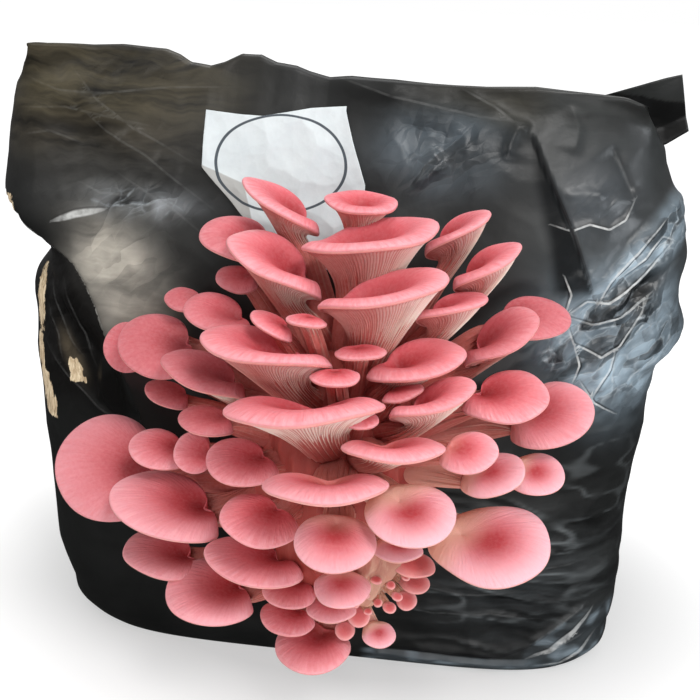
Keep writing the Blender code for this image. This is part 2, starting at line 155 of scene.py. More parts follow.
# Mushrooms, as in the solids: sizes in mm and angles in degrees, as
# across, height, out, cap width, cap depth, gill depth, nod towards the viewer, list to the right
MUSHROOMS = {
    "top": (
        (-27, 238, 24, 40, 24, 22, 14, 23),
        (4, 241, 29, 30, 22, 20, 12, 1),
        (8, 232, 44, 56, 34, 38, 8, -9),
        (41, 234, 32, 32, 20, 26, 15, -25),
        (53, 224, 44, 32, 21, 26, 18, -25),
        (15, 216, 62, 52, 31, 36, 8, -12),
        (42, 209, 54, 30, 18, 23, 10, -12),
    ),
    "upper_left": (
        (-25, 220, 46, 45, 36, 30, 14, 19),
        (-44, 223, 30, 36, 31, 20, 23, 8),
        (-45, 206, 34, 19, 16, 6, 30, 6),
        (-48, 197, 52, 31, 25, 18, 20, 9),
        (-25, 193, 72, 53, 34, 31, 4, 3),
        (-24, 198, 66, 20, 14, 8, 14, 25),
        (-11, 202, 70, 16, 11, 7, 6, 3),
    ),
    "left": (
        (-70, 192, 24, 19, 15, 6, 25, 7),
        (-79, 174, 32, 37, 35, 14, 34, 8),
        (-97, 166, 20, 23, 23, 8, 60, 30),
        (-53, 172, 52, 40, 30, 20, 10, 11),
        (-75, 152, 34, 22, 18, 7, 12, 17),
    ),
    "middle": (
        (-8, 178, 92, 60, 36, 28, -1, -7),
        (10, 192, 72, 20, 14, 7, 5, -5),
        (2, 185, 82, 19, 14, 7, 9, -4),
        (30, 191, 70, 40, 30, 21, 13, -10),
        (27, 179, 78, 17, 12, 6, 5, -20),
        (37, 182, 84, 35, 24, 23, 9, -18),
        (13, 173, 92, 14, 11, 5, 19, -1),
        (26, 167, 98, 38, 24, 16, 0, -2),
    ),
    "right": (
        (74, 200, 34, 36, 28, 18, 25, 1),
        (61, 196, 48, 36, 27, 23, 23, -27),
        (66, 176, 62, 35, 31, 15, 21, -5),
        (86, 162, 44, 37, 35, 15, 30, -17),
        (53, 161, 86, 23, 20, 8, 28, -9),
        (64, 146, 72, 26, 22, 9, 24, -21),
        (83, 140, 56, 23, 21, 8, 30, -7),
        (67, 118, 75, 46, 42, 12, 21, -5),
    ),
    "front": (
        (34, 140, 98, 34, 30, 10, 26, 0),
        (30, 116, 84, 20, 16, 7, 6, 0),
        (3, 154, 106, 46, 30, 18, -1, -5),
        (7, 128, 102, 31, 29, 10, 25, 1),
    ),
    "lower_left": (
        (-101, 114, 34, 52, 52, 13, 40, 18),
        (-76, 131, 46, 27, 23, 8, 23, 9),
        (-68, 112, 58, 52, 41, 13, 14, 10),
        (-58, 135, 56, 18, 18, 6, 55, 25),
        (-33, 144, 76, 31, 26, 9, 20, 4),
        (-51, 154, 62, 25, 20, 7, 13, 4),
        (-75, 78, 44, 38, 31, 10, 11, 10),
        (-50, 71, 58, 42, 38, 12, 17, 2),
        (-28, 99, 74, 43, 32, 12, 6, 7),
        (-24, 125, 86, 32, 29, 10, 18, 7),
    ),
    "bottom": (
        (-14, 83, 70, 23, 21, 7, 14, 1),
        (9, 96, 84, 23, 21, 7, 16, -1),
        (4, 78, 73, 21, 17, 6, 6, -1),
        (-16, 61, 58, 25, 21, 7, 12, 5),
        (-5, 47, 56, 34, 33, 9, 14, -3),
        (24, 55, 56, 15, 13, 5, 29, -1),
    ),
}
PINS = (
    (22, 92, 71, 5, 4, 2, 20, 5),
    (28, 87, 66, 4, 4, 2, 30, 10),
    (17, 84, 70, 6, 5, 2, 25, 0),
    (31, 79, 62, 5, 4, 2, 40, 15),
    (23, 77, 65, 4, 4, 2, 30, -5),
    (28, 71, 59, 6, 5, 3, 50, 10),
    (19, 70, 62, 4, 3, 2, 40, 0),
    (34, 88, 60, 4, 4, 2, 30, 20),
    (13, 77, 68, 5, 4, 2, 30, -10),
    (37, 96, 62, 18, 15, 7, 14, 3),
    (38, 83, 56, 13, 11, 4, 19, 3),
    (35, 73, 55, 9, 9, 3, 45, 1),
    (15, 66, 60, 10, 10, 4, 50, 5),
    (9, 55, 56, 9, 9, 3, 50, 6),
)
PIN_SEED = 900

# How far along from the mound's middle to its cap a mushroom is rooted: across, out, up and down
ROOT_ACROSS, ROOT_OUT, ROOT_UP, ROOT_DOWN = 0.25, 0.30, 0.40, 0.75

# At its back a pale cap reaches out in a tongue and any other cap is notched, as shares of its size
TONGUE_SHARE, NOTCH_SHARE = 0.20, 0.45

# How far the neck lies behind the cap's middle, as a share of its half size, and the least of it straight
# back, as a share of the part sideways
NECK_SHIFT, NECK_BACK = 0.62, 0.55

# How far the back sinks as shares of the gill depth and of the dip
BACK_DROP, OPEN_BACK = 0.35, 0.60

# The stem's radius: a length and a share of the cap's width
STEM_BASE_RADIUS, STEM_SHARE = 1.2 * MM, 0.15

# A small cap is a full dome and a wide one an open funnel with a rolled margin: cap width in mm, dip as a
# share of the gill depth, fall of the margin as a share of the width, and where that fall starts
DOME = (14, 0.10, 0.20, 0.20)
FUNNEL = (36, 0.55, 0.135, 0.45)

# How the dip opens and the margin rolls over, and how many gills there are for each mm of a cap's width
DIP_POWER, ROLL_POWER = 1.7, 1.75
GILLS_PER_MM = 2.1

# Rings along a mushroom's stem and along its underside
STEM_ROWS, UNDER_ROWS = 7, 13


# ---------------------------------------------------------------- repeatable noise

def cell_random(cells, seed):
    """Repeatable random numbers from 0 to 1 for whole-number cells."""
    whole = cells.astype(np.int64)
    mixed = whole[..., 0] * 73856093 ^ whole[..., 1] * 19349663 ^ whole[..., 2] * 83492791 ^ seed * 40503001
    mixed = ((mixed ^ (mixed >> 13)) & 0x7FFFFFFF) * 1274126177
    mixed = ((mixed ^ (mixed >> 16)) & 0x7FFFFFFF) * 668265263
    return ((mixed ^ (mixed >> 15)) & 0xFFFFFF) / 0xFFFFFF


def soft_noise(points, size, seed):
    """Smooth noise from -1 to 1, with forms of the given size."""
    scaled = points / size
    base = np.floor(scaled)
    part = scaled - base
    part = part * part * (3 - 2 * part)
    total = np.zeros(len(points))
    for corner in range(8):
        step = np.array([(corner >> axis) & 1 for axis in range(3)])
        weight = np.prod(np.where(step, part, 1 - part), axis=1)
        total += weight * cell_random(base + step, seed)
    return total * 2 - 1


def creased(points, size, seed, tilt=0.5):
    """Crumpled sheet: shallow dishes of the given size that meet in sharp straight creases, about 0 to 1."""
    scaled = points / size
    base = np.floor(scaled)
    lowest = np.full(len(points), 9.0)
    for corner in range(27):
        cell = base + np.array([corner % 3 - 1, corner // 3 % 3 - 1, corner // 9 - 1])
        middle = cell + np.stack([cell_random(cell, seed + axis) for axis in range(3)], axis=1)
        lean = np.stack([cell_random(cell, seed + 3 + axis) for axis in range(3)], axis=1) - 0.5
        away = scaled - middle
        lowest = np.minimum(lowest, (away * away).sum(axis=1) + tilt * (away * lean).sum(axis=1))
    return lowest * 1.6


def smooth_step(value):
    """0 up to 0, 1 from 1 on, and a soft rise between."""
    value = np.clip(value, 0.0, 1.0)
    return value * value * (3 - 2 * value)


def rise(value, start, width):
    """0 at the start, 1 a width further on; a width below 0 runs towards lower values."""
    return smooth_step((value - start) / width)


def oval(x, z, centre, half, lean=0.0):
    """1 in the middle of a leaning oval patch, falling softly to 0 around its edge."""
    angle = math.radians(lean)
    dx, dz = x - centre[0], z - centre[1]
    along = (dx * math.cos(angle) + dz * math.sin(angle)) / half[0]
    beside = (dz * math.cos(angle) - dx * math.sin(angle)) / half[1]
    return np.exp(-(along ** 2 + beside ** 2) ** 1.5)


def line_distance(x, z, line):
    """Distance to a broken line, the side of it (left of its run is plus), and the share of its length."""
    best = np.full(x.shape, 1e9)
    side = np.ones(x.shape)
    along = np.zeros(x.shape)
    lengths = [math.dist(a, b) for a, b in zip(line, line[1:])]
    done = 0.0
    for (ax, az), (bx, bz), length in zip(line, line[1:], lengths):
        run_x, run_z = (bx - ax) / length, (bz - az) / length
        share = np.clip((x - ax) * run_x + (z - az) * run_z, 0, length)
        near_x, near_z = x - ax - run_x * share, z - az - run_z * share
        gap = np.hypot(near_x, near_z)
        closer = gap < best
        best = np.where(closer, gap, best)
        side = np.where(closer, np.sign(run_x * near_z - run_z * near_x + 1e-12), side)
        along = np.where(closer, (done + share) / sum(lengths), along)
        done += length
    return best, side, along


def spline_through(knots, values, at):
    """Smooth interpolation through uneven knots."""
    knots, values = np.asarray(knots, float), np.asarray(values, float)
    slopes = np.gradient(values, knots)
    index = np.clip(np.searchsorted(knots, at, side="right") - 1, 0, len(knots) - 2)
    width = knots[index + 1] - knots[index]
    t = np.clip((at - knots[index]) / width, 0, 1)
    climb = values[index + 1] - values[index]
    first, last = slopes[index] * width, slopes[index + 1] * width
    return values[index] + t * (first + t * (3 * climb - 2 * first - last + t * (first + last - 2 * climb)))


# ---------------------------------------------------------------- mesh helpers

def grid_faces(rows, columns, closed=True):
    """Quads of a grid of points, row after row; closed joins the last column to the first."""
    last = columns if closed else columns - 1
    row, column = np.meshgrid(np.arange(rows - 1), np.arange(last), indexing="ij")
    here, after = row * columns + column, row * columns + (column + 1) % columns
    return np.stack([here, after, after + columns, here + columns], axis=-1).reshape(-1, 4)


def sheet_faces(rows, columns):
    """Quads of a thin sheet: a grid of front points, then one of back points, and the edge between them."""
    count = rows * columns
    quads = grid_faces(rows, columns, closed=False)
    rim = np.concatenate([
        np.arange(columns),
        np.arange(1, rows) * columns + columns - 1,
        (rows - 1) * columns + np.arange(columns - 2, -1, -1),
        np.arange(rows - 2, 0, -1) * columns,
    ])
    after = np.roll(rim, -1)
    edge = np.stack([after, rim, rim + count, after + count], axis=1)
    return np.concatenate([quads, quads[:, ::-1] + count, edge])


def facing_out(points, quads):
    """The quads of a closed surface, all turned outwards."""
    a, b, c, d = (points[quads[:, i]] for i in range(4))
    volume = (np.einsum("ij,ij->i", a, np.cross(b, c)) + np.einsum("ij,ij->i", a, np.cross(c, d))).sum()
    return quads[:, ::-1] if volume < 0 else quads


def add_to_scene(name, data):
    item = bpy.data.objects.new(name, data)
    bpy.context.scene.collection.objects.link(item)
    return item


def make_object(name, points, quads, attributes, sharp_lines=None):
    """An object from points and quads. An edge between two points with the same line number stays sharp."""
    mesh = bpy.data.meshes.new(name)
    mesh.from_pydata(points.tolist(), [], quads.tolist())
    mesh.update()
    kinds = {1: ("FLOAT", "value"), 3: ("FLOAT_VECTOR", "vector"), 4: ("FLOAT_COLOR", "color")}
    for key, values in attributes.items():
        kind, field = kinds[values.size // len(points)]
        layer = mesh.attributes.new(key, kind, "POINT")
        layer.data.foreach_set(field, values.astype(np.float32).ravel())
    mesh.shade_smooth()
    if sharp_lines is not None:
        ends = np.zeros(len(mesh.edges) * 2, np.int32)
        mesh.edges.foreach_get("vertices", ends)
        first, last = sharp_lines[ends[::2]], sharp_lines[ends[1::2]]
        layer = mesh.attributes.new("sharp_edge", "BOOLEAN", "EDGE")
        layer.data.foreach_set("value", (first >= 0) & (first == last))
    return add_to_scene(name, mesh)


def grid_normals(points, rows, columns):
    """Normals of a grid that is closed around."""
    grid = points.reshape(rows, columns, 3)
    down = np.gradient(grid, axis=0)
    across = np.roll(grid, -1, axis=1) - np.roll(grid, 1, axis=1)
    normal = np.cross(across, down)
    size = np.linalg.norm(normal, axis=2, keepdims=True)
    return (normal / np.maximum(size, 1e-12)).reshape(-1, 3)


# ---------------------------------------------------------------- the film bag

def left_fold_setback(x, z):
    """How far the front stands back below the slanting fold, less the fold's own standing lip, in mm."""
    gap, side, _ = line_distance(x, z, LEFT_FOLD)
    below = gap * -side
    fade = rise(z, 30, 80) * rise(x, -88, -30)
    under_fold = -0.740 * (x + 160) - 0.673 * (z - 215)
    solid_step = LEFT_FOLD_STEP * smooth_step(under_fold / 18)
    step = np.minimum(LEFT_FOLD_STEP * rise(below, -0.5, 12), solid_step + 0.8) * fade
    lip = LEFT_FOLD_LIP * np.exp(np.minimum(below, 0) / 12) * rise(below, 1.6, -2.4)
    return step - lip * rise(z, 128, 30)


def bag_surface(heights, angles):
    """The bag's points for each height and angle, with the step at the left fold and the wavy top."""
    table = np.array(BAG_SECTIONS, float)
    left, right, front, back, square = (
        spline_through(table[:, 0], column, heights) for column in table.T[1:]
    )
    power = (2 / square)[:, None]
    cosine, sine = np.cos(angles)[None, :], np.sin(angles)[None, :]
    middle_x, middle_y = ((left + right) / 2)[:, None], ((front + back) / 2)[:, None]
    x = middle_x + ((right - left) / 2)[:, None] * np.sign(cosine) * np.abs(cosine) ** power
    y = middle_y + ((back - front) / 2)[:, None] * np.sign(sine) * np.abs(sine) ** power
    z = np.repeat(heights[:, None], len(angles), axis=1)
    y = y + left_fold_setback(x, z) * rise(y, middle_y, -30)
    slope = TOP_SLOPE * (x - TOP_SLOPE_LEFT) / TOP_SLOPE_RISE
    knots, tops = zip(*TOP_EDGE)
    plain_top = BAG_HEIGHT + slope * (BAG_HEIGHT - TOP_SLOPE_START)
    slope = slope * np.maximum(0, z - TOP_SLOPE_START)
    wave = (np.interp(x, knots, tops) - plain_top) * rise(z, 236, 52)
    return np.stack([x, y, z + slope + wave], axis=2) * MM


def front_share(y):
    """1 on the front film, falling softly to 0 around the bag's sides, for y in mm."""
    return rise(y, -12, -46)


def crumple_share(x, z):
    """How strongly the front film is crumpled, from 0 to 1."""
    places = (
        (silver_band(x, z), 1.0),
        (oval(x, z, (-106, 205), (34, 24), -25), 0.55),
        (oval(x, z, (-101, 225), (36, 10)), 0.80),
        (oval(x, z, (32, 254), (30, 20)), 0.66),
        (oval(x, z, (106, 236), (20, 12)), 0.35),
        (oval(x, z, (84, 52), (60, 50)), 0.20),
        (oval(x, z, (-140, 160), (22, 40), 8), 0.45),
        (oval(x, z, (-110, 268), (60, 24), -8), 0.22),
    )
    return np.clip(0.10 + np.max([mask * amount for mask, amount in places], axis=0), 0, 1)


def fold_shade_mask(x, z):
    """Where the shader paints light and shade of long soft folds that run level across the film, from 0 to 1.
    """
    places = (
        rise(x, -35, -50) * rise(z, 232, 16),
        0.8 * oval(x, z, (92, 56), (60, 44)),
        0.5 * oval(x, z, (60, 272), (70, 10), -4),
        0.3 * oval(x, z, (-108, 190), (32, 19), -50),
    )
    return np.max(places, axis=0)


def fine_wrinkles(points):
    """Low wavy ridges that run across the film, about -0.7 to 0.3."""
    swung = points * np.array([0.22, 0.3, 1.0])
    swung[:, 2] += 2.5 * MM * np.sin(points[:, 0] / (13 * MM)) + 0.06 * points[:, 0]
    return 0.3 - np.abs(soft_noise(swung, 5.5 * MM, 7))


def film_relief(points):
    """How far the film stands out of the bag's plain form, in metres."""
    x, y, z = points.T / MM
    on_front = front_share(y)
    flat = points * np.array([1, 0.35, 1])
    label = oval(x, z, (-37, 238), (50, 44))
    mushrooms = oval(x, z, (0, 130), (80, 90))
    lower_left = oval(x, z, (-110, 60), (60, 60))
    calm = 1 - 0.8 * label - 0.5 * mushrooms - 0.6 * lower_left - 0.45 * oval(x, z, (66, 258), (52, 26))
    crumple = 0.3 + (crumple_share(x, z) - 0.3) * on_front
    relief = 0.9 * soft_noise(points, 60 * MM, 1) + 0.5 * soft_noise(points, 26 * MM, 2)
    relief += calm * 2.2 * (creased(flat, 48 * MM, 11) - 0.45)
    relief += calm * (0.45 + 1.0 * crumple) * (creased(flat, 23 * MM, 23, 0.8) - 0.45)
    relief += calm * (0.05 + 0.55 * crumple) * (creased(flat, 10 * MM, 29, 0.9) - 0.45)

    # The recess below the left fold, and the soft folds above it
    recess = oval(x, z, (-140, 162), (24, 46), 8) * on_front
    relief += recess * 2.6 * (creased(points * np.array([1, 0.35, 0.6]), 17 * MM, 31, 0.9) - 0.5)
    folds = oval(x, z, (-112, 268), (70, 24), -6) * on_front
    drawn = points * np.array([0.26, 0.3, 1.0])
    drawn[:, 2] += 0.10 * points[:, 0]
    relief += folds * 2.2 * (0.35 - np.abs(soft_noise(drawn, 11 * MM, 5)))

    # The crumpled band at the right, the patch above the mushrooms and the wrinkles at the lower right
    patch = oval(x, z, (32, 254), (30, 20)) * on_front
    relief += patch * 0.9 * soft_noise(points, 10 * MM, 6)
    band = silver_band(x, z) * on_front
    slanted = np.stack([0.77 * x + 0.64 * z, 0.35 * y, 0.77 * z - 0.64 * x], axis=1) * MM
    drawn = slanted * np.array([0.55, 1, 1.15])
    crumpled = 3.0 * (creased(drawn, 17 * MM, 53, 1.2) - 0.4) + 1.5 * (creased(drawn, 8 * MM, 59, 1.2) - 0.4)
    crumpled += 0.5 * (creased(flat, 4.5 * MM, 61, 1.0) - 0.4)
    relief += band * (2.2 + crumpled)
    relief -= oval(x, z, (126, 200), (10, 5), 40) * on_front * 4.5
    wrinkled = oval(x, z, (84, 56), (58, 52)) * on_front
    relief += wrinkled * 1.3 * fine_wrinkles(points)

    # The straight fold, the single creases, the tucked strip and the film's edge around the mushrooms
    gap, side, along = line_distance(x, z, RIGHT_FOLD)
    right_of = gap * side
    ends = smooth_step(along / 0.12) * rise(along, 1, -0.12) * on_front
    relief += ends * 1.0 * np.exp(-np.maximum(right_of, 0) / 20) * rise(right_of, -0.7, 1.4)
    relief -= ends * 0.25 * np.exp(-np.maximum(-right_of, 0) / 12) * rise(right_of, 0.7, -1.4)
    for line, width, height in CREASES:
        gap, side, along = line_distance(x, z, line)
        ends = smooth_step(along / 0.2) * rise(along, 1, -0.2)
        wide = np.where(side > 0, width, width * 3.2)
        relief += on_front * ends * 0.8 * height * np.exp(-gap / wide)

    tuck = rise(x, TUCK_LEFT, 5) * rise(x, TUCK_RIGHT, -5) * rise(z, TUCK_TOP, -1.6)
    relief += tuck * on_front * (1.9 + 0.8 * soft_noise(points, 9 * MM, 9))
    around = np.hypot((x - 4) / 36, (z - 118) / 58)
    hole_edge = np.exp(-((around - 1.04) / 0.09) ** 2) * on_front
    relief += 2.4 * hole_edge * (1 + 0.5 * soft_noise(points, 7 * MM, 10))
    deepest = -2.2
    return np.maximum(relief, deepest) * rise(z, 1.0, 6.0) * MM


def silver_band(x, z):
    """The heavily crumpled band from the right edge down towards the mushrooms."""
    line = ((146, 232), (128, 215), (108, 192), (92, 172))
    upper = rise(line_distance(x, z, line)[0], 14, -10)
    lower = oval(x, z, (120, 176), (34, 36), 50)
    return np.clip(np.maximum(upper, lower * 1.1), 0, 1)


def film_colour_and_painted_light(points):
    """The film's colour with painted reflections, sheen, highlights and shade laid over it, its wear as
    fourth channel, how deep its straw patches are, and its gloss.
    """
    x, y, z = points.T / MM
    on_front = np.maximum(front_share(y), rise(z, 276, 6))
    cloud = 0.5 + 0.5 * soft_noise(points, 15 * MM, 71)
    fleck = 0.5 + 0.5 * soft_noise(points, 5 * MM, 72)
    patchy = np.clip(0.15 + 1.5 * soft_noise(points * np.array([1, 1, 2]), 8 * MM, 73), 0, 1)
    sheen = oval(x, z, (-108, 190), (32, 19), -50)
    band = silver_band(x, z)
    tuck = rise(x, 12, 10) * rise(x, 106, -8) * rise(z, 9.5, -1.5)
    # Painted highlight streaks on the film's flap at the lower right corner
    gap, side, along = line_distance(x, z, ((92, 12), (97, 17), (128, 47)))
    flap_highlight = rise(gap * side, 0.5, -1.5) * rise(x, 92, 8) * rise(z, 40, -8) * rise(y, -58, -16)
    # Painted highlights on the crests of the fine wrinkles
    crest_highlights = rise(fine_wrinkles(points), 0.10, 0.2) * (0.3 + 0.9 * cloud)
    # A painted shadow in a wedge along the left of the straight fold
    gap, side, along = line_distance(x, z, RIGHT_FOLD)
    beside = gap * -side
    fold_shadow_wedge = rise(beside, -0.6, 1.2) * rise(beside, 4 + 16 * along, -7) * (gap < 40)
    fold_shadow_wedge *= rise(z, 196, 6) * rise(z, 274, -14)
    # The recess below the left fold, which gets painted shade
    gap, side, along = line_distance(x, z, LEFT_FOLD)
    recess = rise(gap * -side, 1, 2) * rise(z, 105, 30) * rise(x, -100, -8)
    layers = (
        # Painted reflections: warm brownish tones over the upper left and the top, a cool blue-grey tone over
        # the right
        (rise(x, -40, -60) * rise(z, 225, 30), (0.015, 0.0125, 0.0085), 0.9),
        (rise(x, -30, -60) * rise(z, 252, 20) * (0.4 + 0.8 * cloud), (0.027, 0.0225, 0.0125), 0.9),
        (rise(x, 0, 60) * rise(z, 262, 14), (0.026, 0.024, 0.018), 0.8),
        (rise(x, 66, 20) * rise(z, 190, 25), (0.020, 0.023, 0.024), 0.7),
        # Painted sheen: a warm grey glow on the left below the fold, brightest towards its lower left
        (oval(x, z, (-108, 212), (34, 26), -30) * (0.4 + 0.7 * cloud), (0.050, 0.050, 0.046), 0.8),
        (sheen * (0.35 + 0.6 * cloud + 0.3 * fleck), (0.34, 0.315, 0.27), 0.85),
        # Painted highlights on the blue-grey crumpled strip above the sheen
        (oval(x, z, (-101, 225), (34, 8)) * (0.1 + 1.1 * fleck * cloud), (0.20, 0.215, 0.23), 0.7),
        # Painted reflections: slate blue patches on the crumpled film above the mushrooms and at the right
        (oval(x, z, (32, 254), (30, 18)) * (0.30 + 0.8 * cloud), (0.060, 0.077, 0.092), 0.8),
        (oval(x, z, (104, 240), (18, 16)) * (0.4 + 0.5 * cloud), (0.045, 0.055, 0.066), 0.8),
        # Painted reflection: the crumpled band's silver-blue colour
        (band * (0.30 + 0.60 * fleck + 0.4 * cloud), (0.175, 0.225, 0.265), 0.9),
        # Painted shade in the dent at the band's lower end
        (oval(x, z, (126, 200), (9, 5), 40), (0.008, 0.009, 0.012), 0.95),
        # Painted reflection: light blue-grey patches on the tucked strip
        (tuck * (0.25 + 0.9 * patchy), (0.20, 0.25, 0.29), 0.85),
        # Painted highlight streaks on the corner flap
        (flap_highlight * (0.15 + 1.1 * patchy), (0.16, 0.20, 0.23), 0.85),
        # Painted highlights on the wrinkle crests at the lower right
        (oval(x, z, (84, 54), (46, 38)) * crest_highlights, (0.13, 0.145, 0.15), 0.55),
        (oval(x, z, (110, 100), (28, 40)) * crest_highlights, (0.13, 0.145, 0.15), 0.35),
        # Painted sheen: a faint blue-grey lift over the lower right
        (oval(x, z, (84, 50), (44, 36)), (0.018, 0.021, 0.023), 0.5),
        # Painted shadow left of the straight fold
        (fold_shadow_wedge, (0.0035, 0.004, 0.0045), 0.9),
        # Painted shade in the recess below the left fold
        (recess, (0.0035, 0.003, 0.0028), 0.9),
        (oval(x, z, (-137, 147), (13, 5), -65), (0.060, 0.047, 0.030), 0.9),
    )
    # Each layer blends over the black: most are painted reflections, sheen, highlights or shade; the olive
    # one is straw seen through the film
    colour = np.tile(np.array([0.0075, 0.0080, 0.0078]), (len(points), 1))
    for mask, target, amount in layers:
        share = (np.clip(mask, 0, 1) * amount * on_front)[:, None]
        colour = colour * (1 - share) + np.array(target) * share
    loose = (x > 90) & (y > -34) & (z > 250)
    colour = np.where(loose[:, None], 0.0035, colour)
    rough = 0.03 * band + 0.20 * sheen + 0.1 * oval(x, z, (-110, 212), (34, 26), -30)
    straw = np.where(on_front > 0.1, straw_depth(x, z), -4)
    over_top, upper_left = oval(x, z, (45, 272), (80, 16), -4), oval(x, z, (-136, 264), (46, 28))
    dull = np.max((0.75 * fold_shadow_wedge, 0.60 * over_top, 0.35 * recess, 0.45 * upper_left), axis=0)
    return np.concatenate([colour, (rough * on_front)[:, None]], axis=1), straw, 0.5 - 0.5 * dull * on_front


# Painted highlight lines along creases and folds on the front film, and painted dark shade lines: points
# across and up, half width in mm, brightness (below 0 for a dark line)
PAINTED_CREASE_LIGHTS = (
    (((-143, 213), (-131, 217.5), (-116, 221)), 1.4, 0.80),
    (((97, 10), (108, 15), (119, 25), (127, 38)), 1.3, 0.60),
    (((104, 4.5), (114, 6), (124, 12), (131, 22)), 0.9, 0.50),
    (((16, 10.5), (50, 10), (84, 10.5), (98, 17), (112, 31)), 0.2, -0.80),
    (((74, 262), (84, 243), (95, 223), (105, 200)), 0.1, -0.90),
    (LEFT_FOLD[1:5], 0.25, 0.60),
    (LEFT_FOLD[4:8], 0.1, 0.25),
)


def painted_crease_lights(x, z):
    """Distance in mm from the nearest painted highlight or shade line's edge, place across it in half widths,
    and its brightness.
    """
    lines = list(PAINTED_CREASE_LIGHTS)
    # Creases in the crumpled band get bright painted highlights, other long creases faint ones
    for line, _, _ in CREASES:
        across, up = np.mean(line, axis=0)
        if across > 85 and 150 < up < 236:
            lines.append((line, 0.15, 0.80))
        elif math.dist(line[0], line[-1]) > 24:
            lines.append((line, 0.25, 0.05))
    nearest = np.full(x.shape, 9.0)
    across = np.full(x.shape, 9.0)
    light = np.zeros(x.shape)
    for line, half, brightness in lines:
        gap, side, along = line_distance(x, z, line)
        ends = np.sin(math.pi * np.clip(along, 0.02, 0.98)) ** 0.6
        edge = gap - half * ends
        closer = edge < nearest
        nearest = np.where(closer, edge, nearest)
        across = np.where(closer, gap * side / (half * ends + 0.35), across)
        light = np.where(closer, brightness * ends, light)
    return nearest, across, light


# Pale straw seen through worn film: a patch's heights, left edges and right edges in mm
STRAW_PATCHES = (
    ((151, 158, 164, 168, 176, 187), (-160.5, -162.0, -161.2, -160.9, -160.1, -157.0),
     (-158.0, -157.4, -156.0, -155.3, -153.7, -154.8)),
    ((134, 139, 151), (-161.8, -162.4, -162.2), (-157.2, -157.4, -158.2)),
    ((109, 118, 125, 133), (-158.0, -159.6, -160.8, -161.4), (-150.0, -150.0, -152.6, -154.0)),
    ((133, 139, 145), (-138.4, -139.2, -139.0), (-129.8, -131.8, -134.4)),
    ((213, 222), (-169.0, -171.0), (-165.5, -165.0)),
)


def straw_depth(x, z):
    """How far inside a patch where the film is worn thin and shows the pale straw, in mm, at least -4."""
    deepest = np.full(x.shape, -4.0)
    for heights, left, right in STRAW_PATCHES:
        inside = np.minimum(x - np.interp(z, heights, left), np.interp(z, heights, right) - x)
        inside = np.minimum(inside, np.minimum(z - heights[0], heights[-1] - z))
        deepest = np.maximum(deepest, inside)
    return deepest


def film_angles(columns):
    """Angles around the bag with the columns close together in front and further apart behind."""
    fine = np.linspace(0, 2 * math.pi, 20001)
    half_way_up = np.array([120.0])
    across, out, _ = bag_surface(half_way_up, fine)[0].T
    closeness = np.where(out[1:] < -0.060, 1.0, 0.30)
    walked = np.concatenate([[0], np.cumsum(np.hypot(np.diff(across), np.diff(out)) * closeness)])
    return np.interp(np.arange(columns) / columns * walked[-1], walked, fine)


def make_film():
    """The bag's film with its loose corner."""
    foot_heights, heights = np.linspace(0, 6, 7), np.linspace(6, BAG_HEIGHT, 221)
    heights = np.concatenate([foot_heights[:-1], heights])
    rows, columns = len(heights), 380
    plain = bag_surface(heights, film_angles(columns)).reshape(-1, 3)
    outward = grid_normals(plain, rows, columns)
    front_middle = rows // 2 * columns + columns * 3 // 4
    if outward[front_middle][1] > 0:
        outward = -outward
    shaped = plain + outward * film_relief(plain)[:, None]
    shaped[:, 2] = np.maximum(shaped[:, 2], 0)
    keep_over_block(shaped)
    x, y, z = shaped.T / MM
    sag = 5 * MM
    shaped[:, 2] -= sag * rise(x, -126, -16) * rise(z, 266, 18) * rise(y, -57, 6)
    rings = close_ends(shaped.reshape(rows, columns, 3))
    points = rings.reshape(-1, 3)
    quads = facing_out(points, grid_faces(len(rings), columns))
    corner_points, corner_quads = loose_corner()
    quads = np.concatenate([quads, corner_quads + len(points)])
    points = np.concatenate([points, corner_points])
    return make_object("film_bag", points, quads, film_looks(points))


def close_ends(shaped):
    """The bag's rings with smaller ones added at the floor and over the top."""
    foot, top = shaped[0], shaped[-1]
    middle, half = foot.mean(axis=0), top.mean(axis=0)[1]
    floor_rings, crown = [], []
    for share in (0.0, 0.3, 0.62, 0.9):
        inner = middle + (foot - middle) * share
        inner[:, 2] = 0.2 * MM
        floor_rings.append(inner)
    for share, raised in ((0.75, 0.7), (0.4, 1.2), (0.0, 1.4)):
        closer = top.copy()
        closer[:, 1] = half + (top[:, 1] - half) * share
        closer[:, 2] += raised * MM
        crown.append(closer)
    return np.concatenate([floor_rings, shaped, crown])


def film_looks(points):
    """What the film's material reads at each point."""
    tint_and_painted_light, straw, gloss = film_colour_and_painted_light(points)
    x, y, z = points.T / MM
    front = front_share(y)
    nearest, across, light = painted_crease_lights(x, z)
    return {
        "film_colour_and_painted_light": tint_and_painted_light,
        "straw": straw,
        "gloss": gloss,
        # crumple also sets how much painted facet light and ridge highlight the shader lays on
        "crumple": 0.1 + (crumple_share(x, z) ** 2 - 0.1) * front,
        # painted highlight and shade lines along creases
        "lines": np.stack([nearest, across, light * front], axis=1),
        # painted light and shade of long level folds
        "fold_shade": fold_shade_mask(x, z) * front,
    }


